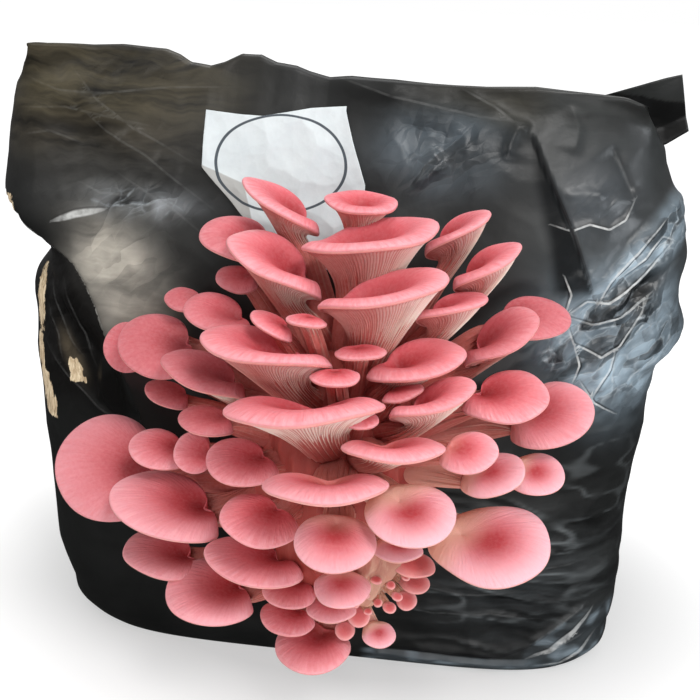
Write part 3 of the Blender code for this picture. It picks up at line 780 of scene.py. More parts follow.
def keep_over_block(points):
    """Bring the film out wherever the filled block would come through its left side and left front."""
    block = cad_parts["substrate_block"]
    to_world = block.matrix_world
    corners = [to_world @ vert.co for vert in block.data.vertices]
    tree = BVHTree.FromPolygons(corners, [tuple(face.vertices) for face in block.data.polygons])
    clear, most, outside = 0.7 * MM, 6 * MM, -0.3
    for index in np.flatnonzero((points[:, 0] < -0.050) & (points[:, 1] < 0.030)):
        x, y, z = points[index]
        from_front = tree.ray_cast(Vector((x, outside, z)), Vector((0, 1, 0)))[0]
        if from_front is not None and 0 < y - from_front.y + clear < most:
            points[index, 1] = from_front.y - clear
        from_left = tree.ray_cast(Vector((outside, y, z)), Vector((1, 0, 0)))[0]
        if from_left is not None and 0 < x - from_left.x + clear < most:
            points[index, 0] = from_left.x - clear


def loose_corner():
    """The film's loose corner behind the top right: a thin creased double sheet."""
    rows, columns = 36, 44
    u, v = np.meshgrid(np.linspace(0, 1, columns), np.linspace(0, 1, rows))
    low_x = np.interp(u, (0, 0.55, 1), (94, 130, 146))
    low_z = np.interp(u, (0, 0.40, 0.75, 1), (257, 257, 260, 267))
    high_x = np.interp(u, (0, 0.4, 0.8, 1), (90, 112, 131, 138))
    high_z = np.interp(u, (0, 0.4, 0.8, 1), (275, 283, 290, 292))
    x = low_x + (high_x - low_x) * v
    z = low_z + (high_z - low_z) * v
    flat = np.stack([x, np.zeros_like(x), z], axis=2).reshape(-1, 3) * MM
    wave = 1.4 * soft_noise(flat, 20 * MM, 81) + 0.5 * (creased(flat, 17 * MM, 83) - 0.4)
    curl = 3.5 * smooth_step((0.30 - v.ravel()) / 0.3)
    front = flat.copy()
    front[:, 1] = -0.027 + (wave - curl) * MM - 0.35 * (flat[:, 2] - 0.262)
    back = front + np.array([0, 0.0007, 0])
    return np.concatenate([front, back]), sheet_faces(rows, columns)


def film_front_y(x, z):
    """The y of the plain front film at a point across and up, in mm."""
    table = np.array(BAG_SECTIONS, float)
    left, right, front, back, square = (spline_through(table[:, 0], column, z) for column in table.T[1:])
    inside = np.clip(np.abs((x - (left + right) / 2) / ((right - left) / 2)), 0, 1)
    return (front + back) / 2 - (back - front) / 2 * (1 - inside ** square) ** (1 / square)


# ---------------------------------------------------------------- the label

def make_label():
    """The paper label: a thin creased sheet that follows the film, with its lower left corner curled."""
    rows, columns = 120, 150
    u, v = np.meshgrid(np.linspace(0, 1, columns), np.linspace(0, 1, rows))
    z = LABEL_FOOT + (LABEL_TOP - LABEL_FOOT) * v
    top_wave = np.interp(u, (0, 0.22, 0.40, 0.55, 0.75, 1), (0.0, -0.8, -1.0, 0.8, 3.4, 5.0)) * MM
    z = z + top_wave * v ** 3
    left = LABEL_LEFT + np.maximum(0, LABEL_CUT_CORNER - (z - LABEL_FOOT)) * 1.05
    right = LABEL_RIGHT + np.interp(z, (0.203, 0.240, 0.258, 0.270), (0.002, 0.001, -0.006, -0.010))
    x = left + (right - left) * u
    flat = np.stack([x, np.zeros_like(x), z], axis=2).reshape(-1, 3)
    across, up = flat[:, 0] / MM, flat[:, 2] / MM
    y = film_front_y(across, up) * MM
    on_film = np.stack([flat[:, 0], y, flat[:, 2]], axis=1)
    lift = film_relief(on_film) + 0.9 * MM
    crumple = 0.5 * soft_noise(flat, 11 * MM, 91) + 1.1 * (creased(flat, 14 * MM, 93) - 0.4)
    crumple += 0.35 * (creased(flat, 6 * MM, 97, 0.9) - 0.4)
    edge = np.minimum(np.minimum(u, 1 - u), np.minimum(v, 1 - v)).ravel()
    curl = 0.9 * np.exp(-(edge / 0.06) ** 2)
    corner_gap = np.maximum(
        (across + 69) * 0.33 + (up - 243) * 0.94, (across + 52) * 0.94 + (up - 237) * 0.31,
    )
    corner = np.clip(-corner_gap, -4, 4)
    front = on_film.copy()
    front[:, 1] -= lift + (crumple + curl) * MM + np.clip(corner, 0, 3) * 0.25 * MM
    back = front + np.array([0, 0.0003, 0])
    to_ring = (flat[:, [0, 2]] - np.array(RING_CENTRE)) / np.array(RING_HALF)
    ring = np.abs(np.hypot(*to_ring.T) - 1 + 0.020 * soft_noise(flat, 16 * MM, 95)) * 24.0
    looks = {
        "ring": np.concatenate([ring, np.full(len(ring), 9.0)]),
        "shade": np.concatenate([corner, corner]),
    }
    return make_object("paper_label", np.concatenate([front, back]), sheet_faces(rows, columns), looks)


# ---------------------------------------------------------------- mushrooms

def cap_axes(nod, lean):
    """The cap's upward axis, its axis to the right and its axis to the front."""
    up = Vector((math.tan(math.radians(lean)), -math.tan(math.radians(nod)), 1)).normalized()
    right = Vector((0, -1, 0)).cross(up).normalized() * -1
    front = right.cross(up) * -1
    if front.y > 0:
        front = -front
    return up, right, front


def cap_form(width):
    """Dip share, droop share and droop start for a cap's width in mm, between a dome and a funnel."""
    openness = min(1.0, max(0.0, (width - DOME[0]) / (FUNNEL[0] - DOME[0])))
    return tuple(small + (wide - small) * openness for small, wide in zip(DOME[1:], FUNNEL[1:]))


def low_right_share(row):
    """How far a mushroom is one of the paler ones at the lower right, from 0 to 1."""
    return np.clip((row[0] + 8) / 24, 0, 1) * np.clip((172 - row[1]) / 30, 0, 1)


def mushroom_grid(row, seed):
    """A mushroom's points from the stem's root over the gills and margin to the middle of the cap, its quads,
    its looks point by point, and for each point the gill line that stays sharp (-1 for none)."""
    across, height, out, width, depth, gill_depth = (value * MM for value in row[:6])
    up, right, front = cap_axes(row[6], row[7])
    dip, droop, droop_start = cap_form(row[3])
    margin_fall = droop * (0.4 * width + 0.6 * depth)
    dip_depth = dip * min(max(gill_depth, 0.32 * width), 1.5 * gill_depth)

    def cap_top(share):
        """Height of the cap's upper face, from the neck (0) to the margin (1)."""
        outer = max(0.0, (share - droop_start) / (1 - droop_start))
        fall = 1 - (1 - outer ** ROLL_POWER) ** (1 / ROLL_POWER)
        return -dip_depth * (1 - share) ** DIP_POWER - margin_fall * fall

    place = Vector((across, FRONT_PLANE - out, height)) + up * (margin_fall / 2)
    reach = place - MOUND_CENTRE
    root_rise = ROOT_UP if reach.z > 0 else ROOT_DOWN
    root = MOUND_CENTRE + Vector((reach.x * ROOT_ACROSS, reach.y * ROOT_OUT, reach.z * root_rise))
    travel = (place - root).normalized()
    to_right = travel.dot(right)
    to_front = max(travel.dot(front), NECK_BACK * abs(to_right))
    travel_flat = to_right, to_front
    neck = np.array([to_right * width, to_front * depth]) * -NECK_SHIFT / 2
    sideways = math.hypot(to_right, to_front)
    back_angle = math.atan2(-to_right, -to_front)

    random = np.random.default_rng(seed)
    gills = int(np.clip(row[3] * GILLS_PER_MM, 14, 112))
    count = 2 * gills
    angles = 2 * math.pi * np.arange(count) / count
    turns = random.uniform(0, 2 * math.pi, 8)
    away = np.remainder(angles - back_angle + math.pi, 2 * math.pi) - math.pi
    paleness = low_right_share(row)
    behind = sideways * np.exp(-(away / 0.9) ** 2)
    reach_back = TONGUE_SHARE * paleness - NOTCH_SHARE * (1 - paleness)
    size = 1 + reach_back * sideways * np.exp(-(away / 0.55) ** 2)
    size += 0.013 * np.sin(3 * angles + turns[0]) + 0.008 * np.sin(5 * angles + turns[1])
    lift = (0.012 * np.sin(2 * angles + turns[4]) + 0.008 * np.sin(4 * angles + turns[5])) * width
    edge = np.stack([np.sin(angles) * width / 2, np.cos(angles) * depth / 2], axis=1) * size[:, None]
    place_at, right_at, front_at, up_at = (np.array(v) for v in (place, right, front, up))

    def ring_at(share, level):
        """The cap's outline at a share of the way out, at a height that sinks behind the neck."""
        flat = neck * (1 - share) + edge * share
        opened = dip_depth * OPEN_BACK * (1 - (1 - share) ** DIP_POWER) + gill_depth * BACK_DROP * share ** 3
        raised = level + lift * share ** 3 - behind * opened
        return place_at + flat[:, :1] * right_at + flat[:, 1:] * front_at + raised[:, None] * up_at

    stem_radius = STEM_BASE_RADIUS + STEM_SHARE * width
    gill_run = (up * -1 + (root - place).normalized()).normalized()
    neck_middle = place + right * neck[0] + front * neck[1] + gill_run * gill_depth
    stem = (neck_middle - root).normalized()
    # A mark for each ring: its share of the way out, whether it is on the underside, how like the stem it is
    rings, marks = [], []
    for step in range(STEM_ROWS):
        t = step / (STEM_ROWS - 1)
        facing = stem.lerp((stem + up).normalized(), t * t).normalized()
        turn = np.array(up.rotation_difference(facing).to_matrix())
        middle = np.array(root.lerp(neck_middle, t))
        radius = stem_radius * (1.10 - 0.10 * t) * (1 + 0.05 * np.sin(3 * angles + turns[7] + 2 * t))
        local = np.sin(angles)[:, None] * right_at + np.cos(angles)[:, None] * front_at
        rings.append(middle + (local * radius[:, None]) @ turn.T)
        marks.append((0.0, 1.0, 1.0 - 0.35 * t))
    rim_radius = 0.6 * MM + 0.013 * width
    rim_width = rim_radius / ((width + depth) / 4)
    rim_share = 1 - rim_width
    rim_level = cap_top(rim_share) - rim_radius
    neck_ring = rings[-1]
    half_level = -gill_depth * 0.45 ** 0.85 - margin_fall * 0.09
    half_ring = ring_at(0.55, half_level)
    last_ring = ring_at(rim_share - 0.01, rim_level - rim_radius * 0.9)
    for step in range(1, UNDER_ROWS + 1):
        t = step / UNDER_ROWS
        curve = neck_ring * (1 - t) * (1 - 2 * t) + half_ring * 4 * t * (1 - t) + last_ring * t * (2 * t - 1)
        rings.append(curve)
        marks.append((t, 1.0, 0.65 * max(0.0, 1 - t / 0.35)))
    for degrees in (-50, -10, 25, 55):
        turned = math.radians(degrees)
        share = rim_share + rim_width * math.cos(turned)
        rings.append(ring_at(share, rim_level + rim_radius * math.sin(turned)))
        marks.append((1.0, 0.6 if degrees < 0 else 0.0, 0.0))
    for share in (0.95, 0.93, 0.90, 0.86, 0.81, 0.75, 0.68, 0.60, 0.51, 0.41, 0.31, 0.21, 0.12, 0.05, 0.0):
        share = min(share, rim_share - 0.004 - (0.95 - share) * 0.2)
        rings.append(ring_at(share, cap_top(share)))
        marks.append((share, 0.0, 0.0))
    rings = np.array(rings)

    low, high = STEM_ROWS - 3, STEM_ROWS + 3
    for _ in range(3):
        rings[low:high] = (rings[low - 1:high - 1] + 2 * rings[low:high] + rings[low + 1:high + 1]) / 4

    ridge = add_gills(rings, random, angles, turns, behind)
    half_size = np.array([width, depth]) / 2
    looks = mushroom_looks(row, marks, ridge, angles, turns, neck / half_size, edge / half_size, travel_flat)
    lines = np.full(ridge.shape, -1)
    lines[STEM_ROWS - 2:STEM_ROWS + UNDER_ROWS - 1] = np.arange(count)
    points = rings.reshape(-1, 3)
    return points, facing_out(points, grid_faces(len(rings), count)), looks, lines.ravel()


def add_gills(rings, random, angles, turns, behind):
    """Draw gills out of the underside's rings, and give how far each point is on a gill's crest."""
    rows, count = rings.shape[:2]
    gills = count // 2
    normal = grid_normals(rings.reshape(-1, 3), rows, count).reshape(rows, count, 3)
    half_way = STEM_ROWS + 6
    if ((rings[half_way] - rings[half_way].mean(axis=0)) * normal[half_way]).sum() < 0:
        normal = -normal

    # Every second column is the crest of a gill; some gills end before they reach the stem
    gill, crest = np.divmod(np.arange(count), 2)
    strength = random.uniform(0.35, 1.25, gills)[gill] * (1 + 0.35 * np.sin(5 * angles + turns[2]))
    ends_at = np.where(gill % 4 == 0, -0.3, np.where(gill % 4 == 2, 0.12, 0.38))
    ends_at = ends_at + random.uniform(-0.12, 0.12, gills)[gill]
    ridge = np.zeros((rows, count))
    for step in range(STEM_ROWS - 3, STEM_ROWS + UNDER_ROWS):
        t = (step - STEM_ROWS + 1) / UNDER_ROWS
        circle = np.linalg.norm(np.roll(rings[step], 1, axis=0) - rings[step], axis=1).sum() / gills
        present = rise(t, ends_at, 0.14) * rise(t, 1.02, -0.06)
        tall = np.minimum(circle * (0.40 + 0.8 * (1 - t) ** 2), 0.8 * MM) * strength * present
        sway = 0.8 * np.sin(7 * angles + 4 * t + turns[3]) + 0.5 * np.sin(17 * angles - 6 * t + turns[6])
        beside = np.roll(rings[step], -1, axis=0) - np.roll(rings[step], 1, axis=0)
        rings[step] += beside * (0.22 * sway * rise(t, 1, -0.2))[:, None]
        rings[step] += normal[step] * (tall * (crest - 0.55))[:, None]
        # Crests fade towards the back so the notch shows the dark valley colour as painted shade
        ridge[step] = crest * present * np.clip(strength, 0.2, 1) * np.clip(1.2 - 2.2 * behind, 0, 1)
    return ridge


def mushroom_looks(row, marks, ridge, angles, turns, neck_spot, edge_spots, travel):
    """A mushroom's colour attributes: places on the cap, tints and painted shade by its place in the cluster,
    and streaks.
    """
    rows, count = ridge.shape
    paleness = low_right_share(row)
    share, below, stem_like = (column[:, None] for column in np.array(marks).T)
    on_top = below < 0.5
    spots = neck_spot * (1 - share[..., None]) + edge_spots * share[..., None]
    from_middle = np.clip(np.hypot(spots[..., 0], spots[..., 1]), 0, 1)
    to_back = -(spots[..., 0] * travel[0] + spots[..., 1] * travel[1]) / max(math.hypot(*travel), 0.05)
    cap_share = share * (1 - paleness) + (0.26 + 0.74 * from_middle ** 1.2) * paleness
    # Painted shade on the gills' left side, stronger on the upper caps
    gill_side_shade = np.clip(0.60 - 0.95 * np.sin(angles - 0.25), 0, 1) * (0.25 + 0.75 * rise(row[1], 176, 20))
    pale = paleness * np.where(on_top, rise(to_back, 0.05, 0.75), 1)
    # Near the root, where the shader paints shade on the stem
    deep = 1 - np.clip(np.arange(rows) / (STEM_ROWS + 3), 0, 1)[:, None]
    # Painted shade on caps far to the right, close to the film, or on the left
    far_right = rise(row[0], 50, 20) * rise(row[1], 180, 15)
    near_film = rise(row[2], 50, -18) * rise(row[1], 228, -15)
    left_shade = rise(row[0], -20, -40) * rise(row[1], 125, 30)
    painted_cap_shade = max(left_shade, 0.9 * far_right, 0.6 * near_film)
    streak_size = count / 34
    streak_x, streak_y = np.cos(angles) * streak_size + turns[0] * 7, np.sin(angles) * streak_size
    looks = {
        "cap_zone": (np.where(on_top, cap_share, share), below, ridge, stem_like),
        "cap_hue_and_shade": (gill_side_shade, pale, deep, painted_cap_shade),
        "radial": (streak_x, streak_y, (share + below * 3) * 1.3),
    }
    for key, parts in looks.items():
        looks[key] = np.stack(np.broadcast_arrays(*parts, ridge)[:-1], axis=2).reshape(rows * count, -1)
    return looks


def make_mushroom(name, row, seed):
    points, quads, looks, lines = mushroom_grid(row, seed)
    low_right = np.full(len(points), low_right_share(row))
    low_left = rise(row[0], -14, -40) * rise(row[1], 145, -30)
    looks.update(low_right=low_right, rosy=low_right + 0.4 * low_left)
    return make_object(name, points, quads, looks, lines)


def make_base_tissue():
    """The lumpy mound that the mushrooms grow from, with its pins."""
    rows, columns = 110, 160
    polar, turn = np.meshgrid(
        np.linspace(0, math.pi, rows), np.arange(columns) / columns * 2 * math.pi, indexing="ij",
    )
    ball = np.stack([np.sin(polar) * np.cos(turn), np.sin(polar) * np.sin(turn), np.cos(polar)], axis=2)
    ball = ball.reshape(-1, 3)
    lumps = 0.09 * soft_noise(ball, 0.42, 101) + 0.08 * soft_noise(ball, 0.2, 102)
    lumps += 0.04 * soft_noise(ball, 0.11, 104)
    strands = 0.05 * np.abs(soft_noise(ball * np.array([1, 1, 0.3]), 0.10, 103))
    points = np.array(MOUND_CENTRE) + ball * np.array(MOUND_HALF_SIZE) * (0.98 + lumps + strands)[:, None]
    points[:, 1] = np.minimum(points[:, 1], FRONT_PLANE + 2 * MM)
    quads = facing_out(points, grid_faces(rows, columns))
    zone = np.tile([0.2, 1.0, 0.0, 1.0], (len(points), 1))
    zone[:, 2] = np.clip(0.5 + lumps * 5, 0, 1)
    lines = np.full(len(points), -1)
    for index, pin in enumerate(PINS):
        pin_points, pin_quads, looks, pin_lines = mushroom_grid(pin, PIN_SEED + index)
        quads = np.concatenate([quads, pin_quads + len(points)])
        points = np.concatenate([points, pin_points])
        zone = np.concatenate([zone, looks["cap_zone"]])
        lines = np.concatenate([lines, np.where(pin_lines >= 0, pin_lines + 1000 * (index + 1), -1)])
    return make_object("base_tissue", points, quads, {"cap_zone": zone}, lines)


# ---------------------------------------------------------------- materials

class Graph:
    """A short way to write the nodes of a material or of the world."""

    def __init__(self, owner):
        owner.use_nodes = True
        self.owner, self.tree = owner, owner.node_tree

    def node(self, kind, inputs=None, **settings):
        made = self.tree.nodes.new("ShaderNode" + kind)
        for key, value in settings.items():
            setattr(made, key, value)
        for key, value in (inputs or {}).items():
            self.put(value, made.inputs[key])
        return made

    def put(self, value, socket):
        """Link an output to a socket, or set the socket's own value."""
        if isinstance(value, bpy.types.NodeSocket):
            self.tree.links.new(value, socket)
        else:
            socket.default_value = value

    def where(self):
        """The place on the object, in metres."""
        return self.node("TexCoord").outputs["Object"]

    def attribute(self, name, output="Fac"):
        return self.node("Attribute", attribute_name=name).outputs[output]

    def channels(self, name):
        """The four channels of a colour attribute."""
        made = self.node("Attribute", attribute_name=name).outputs
        parts = self.node("SeparateColor", {"Color": made["Color"]}).outputs
        return parts["Red"], parts["Green"], parts["Blue"], made["Alpha"]

    def stretched(self, vector, scale):
        return self.node("Mapping", {"Vector": vector, "Scale": scale}).outputs["Vector"]

    def noise(self, vector, scale, detail=3.0, roughness=0.55, distortion=0.0):
        """Soft noise with so many forms to the metre; three numbers are for the three axes."""
        if isinstance(scale, tuple):
            vector, scale = self.stretched(vector, scale), 1.0
        inputs = {"Vector": vector, "Scale": scale, "Detail": detail}
        inputs.update(Roughness=roughness, Distortion=distortion)
        return self.node("TexNoise", inputs).outputs["Fac"]

    def cells(self, vector, feature, output):
        made = self.node("TexVoronoi", {"Vector": vector, "Scale": 1.0}, feature=feature)
        return made.outputs[output]

    def ramp(self, factor, *stops):
        """A colour along a factor; each stop is a place and a colour."""
        made = self.node("ValToRGB", {"Fac": factor})
        elements = made.color_ramp.elements
        while len(elements) < len(stops):
            elements.new(0.5)
        for element, (place, colour) in zip(elements, stops):
            element.position = place
            element.color = (*colour, 1)
        return made.outputs["Color"]

    def mix(self, factor, first, second, blend_type="MIX"):
        made = self.node("Mix", data_type="RGBA", blend_type=blend_type)
        for value, index in ((factor, 0), (first, 6), (second, 7)):
            self.put((*value, 1) if isinstance(value, tuple) else value, made.inputs[index])
        return made.outputs[2]

    def math(self, operation, first, second=0.0, third=0.0):
        return self.node("Math", {0: first, 1: second, 2: third}, operation=operation).outputs[0]

    def times(self, first, second):
        return self.math("MULTIPLY", first, second)

    def plus(self, first, second):
        return self.math("ADD", first, second)

    def spread(self, value, low, high, to_low=0.0, to_high=1.0):
        """A value's range from low to high drawn out to another range, and held at its ends."""
        inputs = {"Value": value, "From Min": low, "From Max": high, "To Min": to_low, "To Max": to_high}
        return self.node("MapRange", inputs).outputs["Result"]

    def bump(self, height, distance, strength=1.0, after=None):
        inputs = {"Height": height, "Distance": distance, "Strength": strength}
        if after is not None:
            inputs["Normal"] = after
        return self.node("Bump", inputs).outputs["Normal"]

    def finish(self, **sockets):
        """Fill in the shader's inputs by name, and return the material."""
        shader = self.tree.nodes["Principled BSDF"]
        for key, value in sockets.items():
            self.put(value, shader.inputs[key.replace("_", " ")])
        return self.owner


def new_material(name):
    return Graph(bpy.data.materials.new(name))


def mushroom_material():
    graph = new_material("oyster_flesh")
    share, under, ridge, stem = graph.channels("cap_zone")
    gill_side_shade, pale, deep, painted_cap_shade = graph.channels("cap_hue_and_shade")
    low_right = graph.attribute("low_right")
    where = graph.where()
    streaks = graph.noise(graph.attribute("radial", "Vector"), 2.2, 3.0, 0.6)
    clouds = graph.noise(where, 55.0)
    grain_and_glints = graph.noise(where, 700.0, 2.0)
    uneven = graph.noise(where, 170.0, 2.0)
    streaky = graph.times(graph.spread(streaks, 0.30, 0.70, -1.0, 1.0), graph.spread(share, 0.25, 0.95))
    shifted = graph.plus(share, graph.times(streaky, 0.10))
    # The cap's face darker towards the neck: partly its own colour, partly painted shade in the dip
    top = graph.ramp(
        shifted,
        (0.00, (0.30, 0.018, 0.022)),
        (0.25, (0.50, 0.050, 0.060)),
        (0.55, (0.67, 0.115, 0.138)),
        (0.85, (0.79, 0.232, 0.262)),
        (1.00, (0.86, 0.345, 0.380)),
    )
    rosy = graph.times(graph.attribute("rosy"), graph.spread(share, 0.35, 0.95, 0.0, 0.9))
    top = graph.mix(graph.spread(clouds, 0.45, 0.75, 0.0, 0.25), top, (0.60, 0.090, 0.115))
    top = graph.mix(rosy, top, (0.91, 0.48, 0.54))
    top = graph.mix(pale, top, (0.84, 0.47, 0.36))
    # Painted shade on caps far to the right, close to the film, or on the left
    top = graph.mix(graph.times(painted_cap_shade, 0.65), top, (0.45, 0.090, 0.105))

    # Gill valleys darker than the crests: partly the gills' colour, partly painted shade between them
    valley = graph.ramp(
        shifted, (0.0, (0.38, 0.085, 0.068)), (0.6, (0.50, 0.180, 0.145)), (1.0, (0.58, 0.20, 0.18)),
    )
    crest = graph.ramp(
        shifted, (0.0, (0.80, 0.64, 0.54)), (0.5, (0.80, 0.75, 0.65)), (1.0, (0.82, 0.63, 0.58)),
    )
    gills = graph.mix(graph.spread(ridge, 0.0, 0.32), valley, crest)
    # Painted shade on the gills' left side
    gills = graph.mix(graph.times(gill_side_shade, 0.82), gills, (0.37, 0.062, 0.050))
    flesh = graph.mix(graph.spread(clouds, 0.35, 0.7), (0.66, 0.21, 0.17), (0.56, 0.12, 0.10))
    flesh = graph.mix(low_right, flesh, (0.82, 0.50, 0.39))
    # Painted shade low on the stem near the root, less on the pale lower right caps
    inside = graph.times(deep, graph.math("SUBTRACT", 1.0, graph.times(low_right, 0.8)))
    below = graph.mix(stem, gills, flesh)
    below = graph.mix(graph.times(inside, 0.85), below, (0.36, 0.050, 0.040))
    colour = graph.mix(under, top, below)
    from_rim = graph.math("ABSOLUTE", graph.math("SUBTRACT", under, 0.55))
    rim = graph.math("SUBTRACT", 1.0, graph.times(from_rim, 3.0))
    colour = graph.mix(graph.spread(rim, 0.0, 1.0, 0.0, 0.55), colour, (0.90, 0.44, 0.38))
    # Painted glints: fine pale speckles over the cap
    colour = graph.mix(graph.spread(grain_and_glints, 0.35, 0.7, 0.0, 0.10), colour, (0.90, 0.50, 0.52))
    height = graph.math("MULTIPLY_ADD", uneven, 1.6, graph.times(grain_and_glints, 0.35))
    height = graph.math("MULTIPLY_ADD", streaky, 0.6, height)
    return graph.finish(
        Base_Color=colour,
        Roughness=0.52,
        Specular_IOR_Level=0.30,
        Subsurface_Weight=0.12,
        Subsurface_Radius=(1.0, 0.28, 0.20),
        Subsurface_Scale=0.0012,
        Normal=graph.bump(height, 0.0005, 0.45),
    )


def tissue_material():
    graph = new_material("base_flesh")
    share, under, ridge, _ = graph.channels("cap_zone")
    where = graph.where()
    clouds = graph.noise(where, 60.0, 4.0)
    strands = graph.noise(where, (260.0, 260.0, 60.0), 4.0, 0.65)
    places = graph.node("SeparateXYZ", {"Vector": where}).outputs
    low_right = graph.times(
        graph.spread(places["X"], 0.004, 0.020), graph.spread(places["Z"], 0.112, 0.094),
    )
    flesh = graph.mix(graph.spread(clouds, 0.35, 0.68), (0.48, 0.23, 0.155), (0.40, 0.12, 0.085))
    # Painted shade: the mound darker except at its lower right, which is out in the light
    flesh = graph.mix(low_right, (0.36, 0.058, 0.048), flesh)
    paler = graph.times(graph.spread(strands, 0.45, 0.70, 0.0, 0.5), graph.plus(low_right, 0.12))
    flesh = graph.mix(paler, flesh, (0.72, 0.50, 0.36))
    flesh = graph.mix(graph.times(ridge, graph.times(low_right, 0.25)), flesh, (0.84, 0.62, 0.48))
    cap = graph.ramp(
        share, (0.0, (0.56, 0.08, 0.085)), (0.6, (0.66, 0.15, 0.155)), (1.0, (0.82, 0.36, 0.36)),
    )
    return graph.finish(
        Base_Color=graph.mix(under, cap, flesh),
        Roughness=0.6,
        Specular_IOR_Level=0.3,
        Subsurface_Weight=0.2,
        Subsurface_Radius=(1.0, 0.4, 0.28),
        Subsurface_Scale=0.0035,
        Normal=graph.bump(strands, 0.0012, 0.6),
    )


def film_material():
    """Black film: its colour with painted reflections and sheen, painted light and shade on crumpled facets
    and level folds, painted highlight ridges and lines with painted shade beside them, and straw at worn
    places.
    """
    graph = new_material("black_film_look")
    tint_and_painted_light = graph.node("Attribute", attribute_name="film_colour_and_painted_light").outputs
    crumple = graph.attribute("crumple")
    where = graph.where()
    clouds = graph.noise(where, 38.0, 5.0, 0.6)
    fine = graph.noise(where, 230.0, 3.0, 0.5, 0.4)
    warp = graph.node("TexNoise", {"Vector": where, "Scale": 60.0, "Detail": 2.0}).outputs["Color"]
    bent = graph.node(
        "VectorMath", {0: warp, 1: (0.010, 0.010, 0.010), 2: where}, operation="MULTIPLY_ADD",
    ).outputs["Vector"]
    slanted = {"Vector": bent, "Rotation": (0, math.radians(40), 0)}
    turned = graph.node("Mapping", slanted).outputs["Vector"]
    # Voronoi facets, each painted lighter or darker as if it caught the light or not, and streaks of painted
    # sheen
    facets, edges = [], []
    for scale in ((26.0, 24.0, 70.0), (80.0, 72.0, 170.0)):
        drawn = graph.stretched(turned, scale)
        facets.append(graph.cells(drawn, "F1", "Color"))
        edges.append(graph.cells(drawn, "DISTANCE_TO_EDGE", "Distance"))
    facet = graph.node("SeparateColor", {"Color": graph.mix(0.42, *facets)}).outputs["Red"]
    sheen_streaks = graph.noise(turned, (18.0, 18.0, 95.0), 4.0, 0.55, 0.5)
    uneven = graph.plus(
        graph.spread(facet, 0.25, 0.75, -0.58, 1.0), graph.spread(sheen_streaks, 0.36, 0.64, -0.4, 0.7),
    )
    # Painted light and shade of long level folds
    level = graph.noise(bent, (14.0, 14.0, 95.0), 4.0, 0.6, 0.6)
    fold_shade = graph.times(graph.spread(level, 0.36, 0.66, -0.85, 2.1), graph.attribute("fold_shade"))
    uneven = graph.plus(graph.times(uneven, crumple), fold_shade)
    shade = graph.plus(graph.spread(clouds, 0.3, 0.7, 0.75, 1.25), uneven)
    shade = graph.math("MAXIMUM", shade, 0.1)
    grey = graph.node("CombineColor", {"Red": shade, "Green": shade, "Blue": shade}).outputs["Color"]
    black = graph.mix(1.0, tint_and_painted_light["Color"], grey, "MULTIPLY")

    # Painted highlights along the crumple ridges
    ridge = graph.math(
        "MAXIMUM", graph.spread(edges[0], 0.0, 0.05, 0.9, 0.0), graph.spread(edges[1], 0.0, 0.08, 0.4, 0.0),
    )
    ridge = graph.times(ridge, graph.spread(fine, 0.40, 0.62))
    ridge = graph.times(ridge, graph.spread(crumple, 0.42, 1.0, 0.0, 0.85))
    black = graph.mix(ridge, black, (0.42, 0.47, 0.50))

    black = paint_lines(graph, black, fine)
    straw, pale = straw_patches(graph, where)
    rough = graph.plus(graph.spread(clouds, 0.3, 0.7, 0.33, 0.44), tint_and_painted_light["Alpha"])
    relief = graph.plus(
        graph.spread(edges[0], 0.0, 0.35, 0.0, 1.6), graph.spread(edges[1], 0.0, 0.35, 0.0, 0.7),
    )
    normal = graph.bump(graph.times(relief, crumple), 0.0012, 0.80)
    return graph.finish(
        Base_Color=graph.mix(straw, black, pale),
        Roughness=graph.plus(rough, graph.times(straw, 0.3)),
        Specular_IOR_Level=graph.attribute("gloss"),
        Normal=graph.bump(fine, 0.0004, 0.22, normal),
    )


def paint_lines(graph, black, fine):
    """Painted highlight lines and painted dark shade lines over the film's colour, each with a thin painted
    shadow beside it.
    """
    lines = graph.node("SeparateXYZ", {"Vector": graph.attribute("lines", "Vector")}).outputs
    gap, across, light = lines["X"], lines["Y"], lines["Z"]
    near = graph.spread(gap, 0.75, 1.35, 1.0, 0.0)
    core = graph.times(graph.spread(graph.math("ABSOLUTE", across), 0.60, 1.10, 1.0, 0.0), near)
    shadow = graph.times(graph.spread(across, 0.9, 1.4), graph.spread(across, 2.2, 4.0, 1.0, 0.0))
    shadow = graph.times(graph.times(shadow, near), graph.math("ABSOLUTE", light))
    broken = graph.times(graph.spread(light, 0.0, 1.0), graph.spread(fine, 0.35, 0.6, 0.35, 1.0))
    dark = graph.times(core, graph.spread(light, -1.0, 0.0, 1.0, 0.0))
    # Painted shadow beside the lines and along the dark crease lines
    black = graph.mix(graph.math("MAXIMUM", shadow, dark), black, (0.004, 0.004, 0.005))
    # Painted highlight along the light lines
    return graph.mix(graph.times(core, broken), black, (0.60, 0.61, 0.60))


def straw_patches(graph, where):
    """Where straw shows through the film, with a ragged edge, and its colour."""
    fibres = graph.noise(where, (700.0, 700.0, 120.0), 3.0, 0.7, 0.6)
    pale = graph.ramp(
        fibres, (0.30, (0.22, 0.14, 0.075)), (0.50, (0.56, 0.43, 0.27)), (0.68, (0.82, 0.70, 0.50)),
    )
    ragged = graph.noise(where, (420.0, 420.0, 170.0), 3.0, 0.6)
    depth = graph.plus(graph.attribute("straw"), graph.spread(ragged, 0.3, 0.7, -1.3, 1.3))
    return graph.spread(depth, -0.15, 0.25), pale


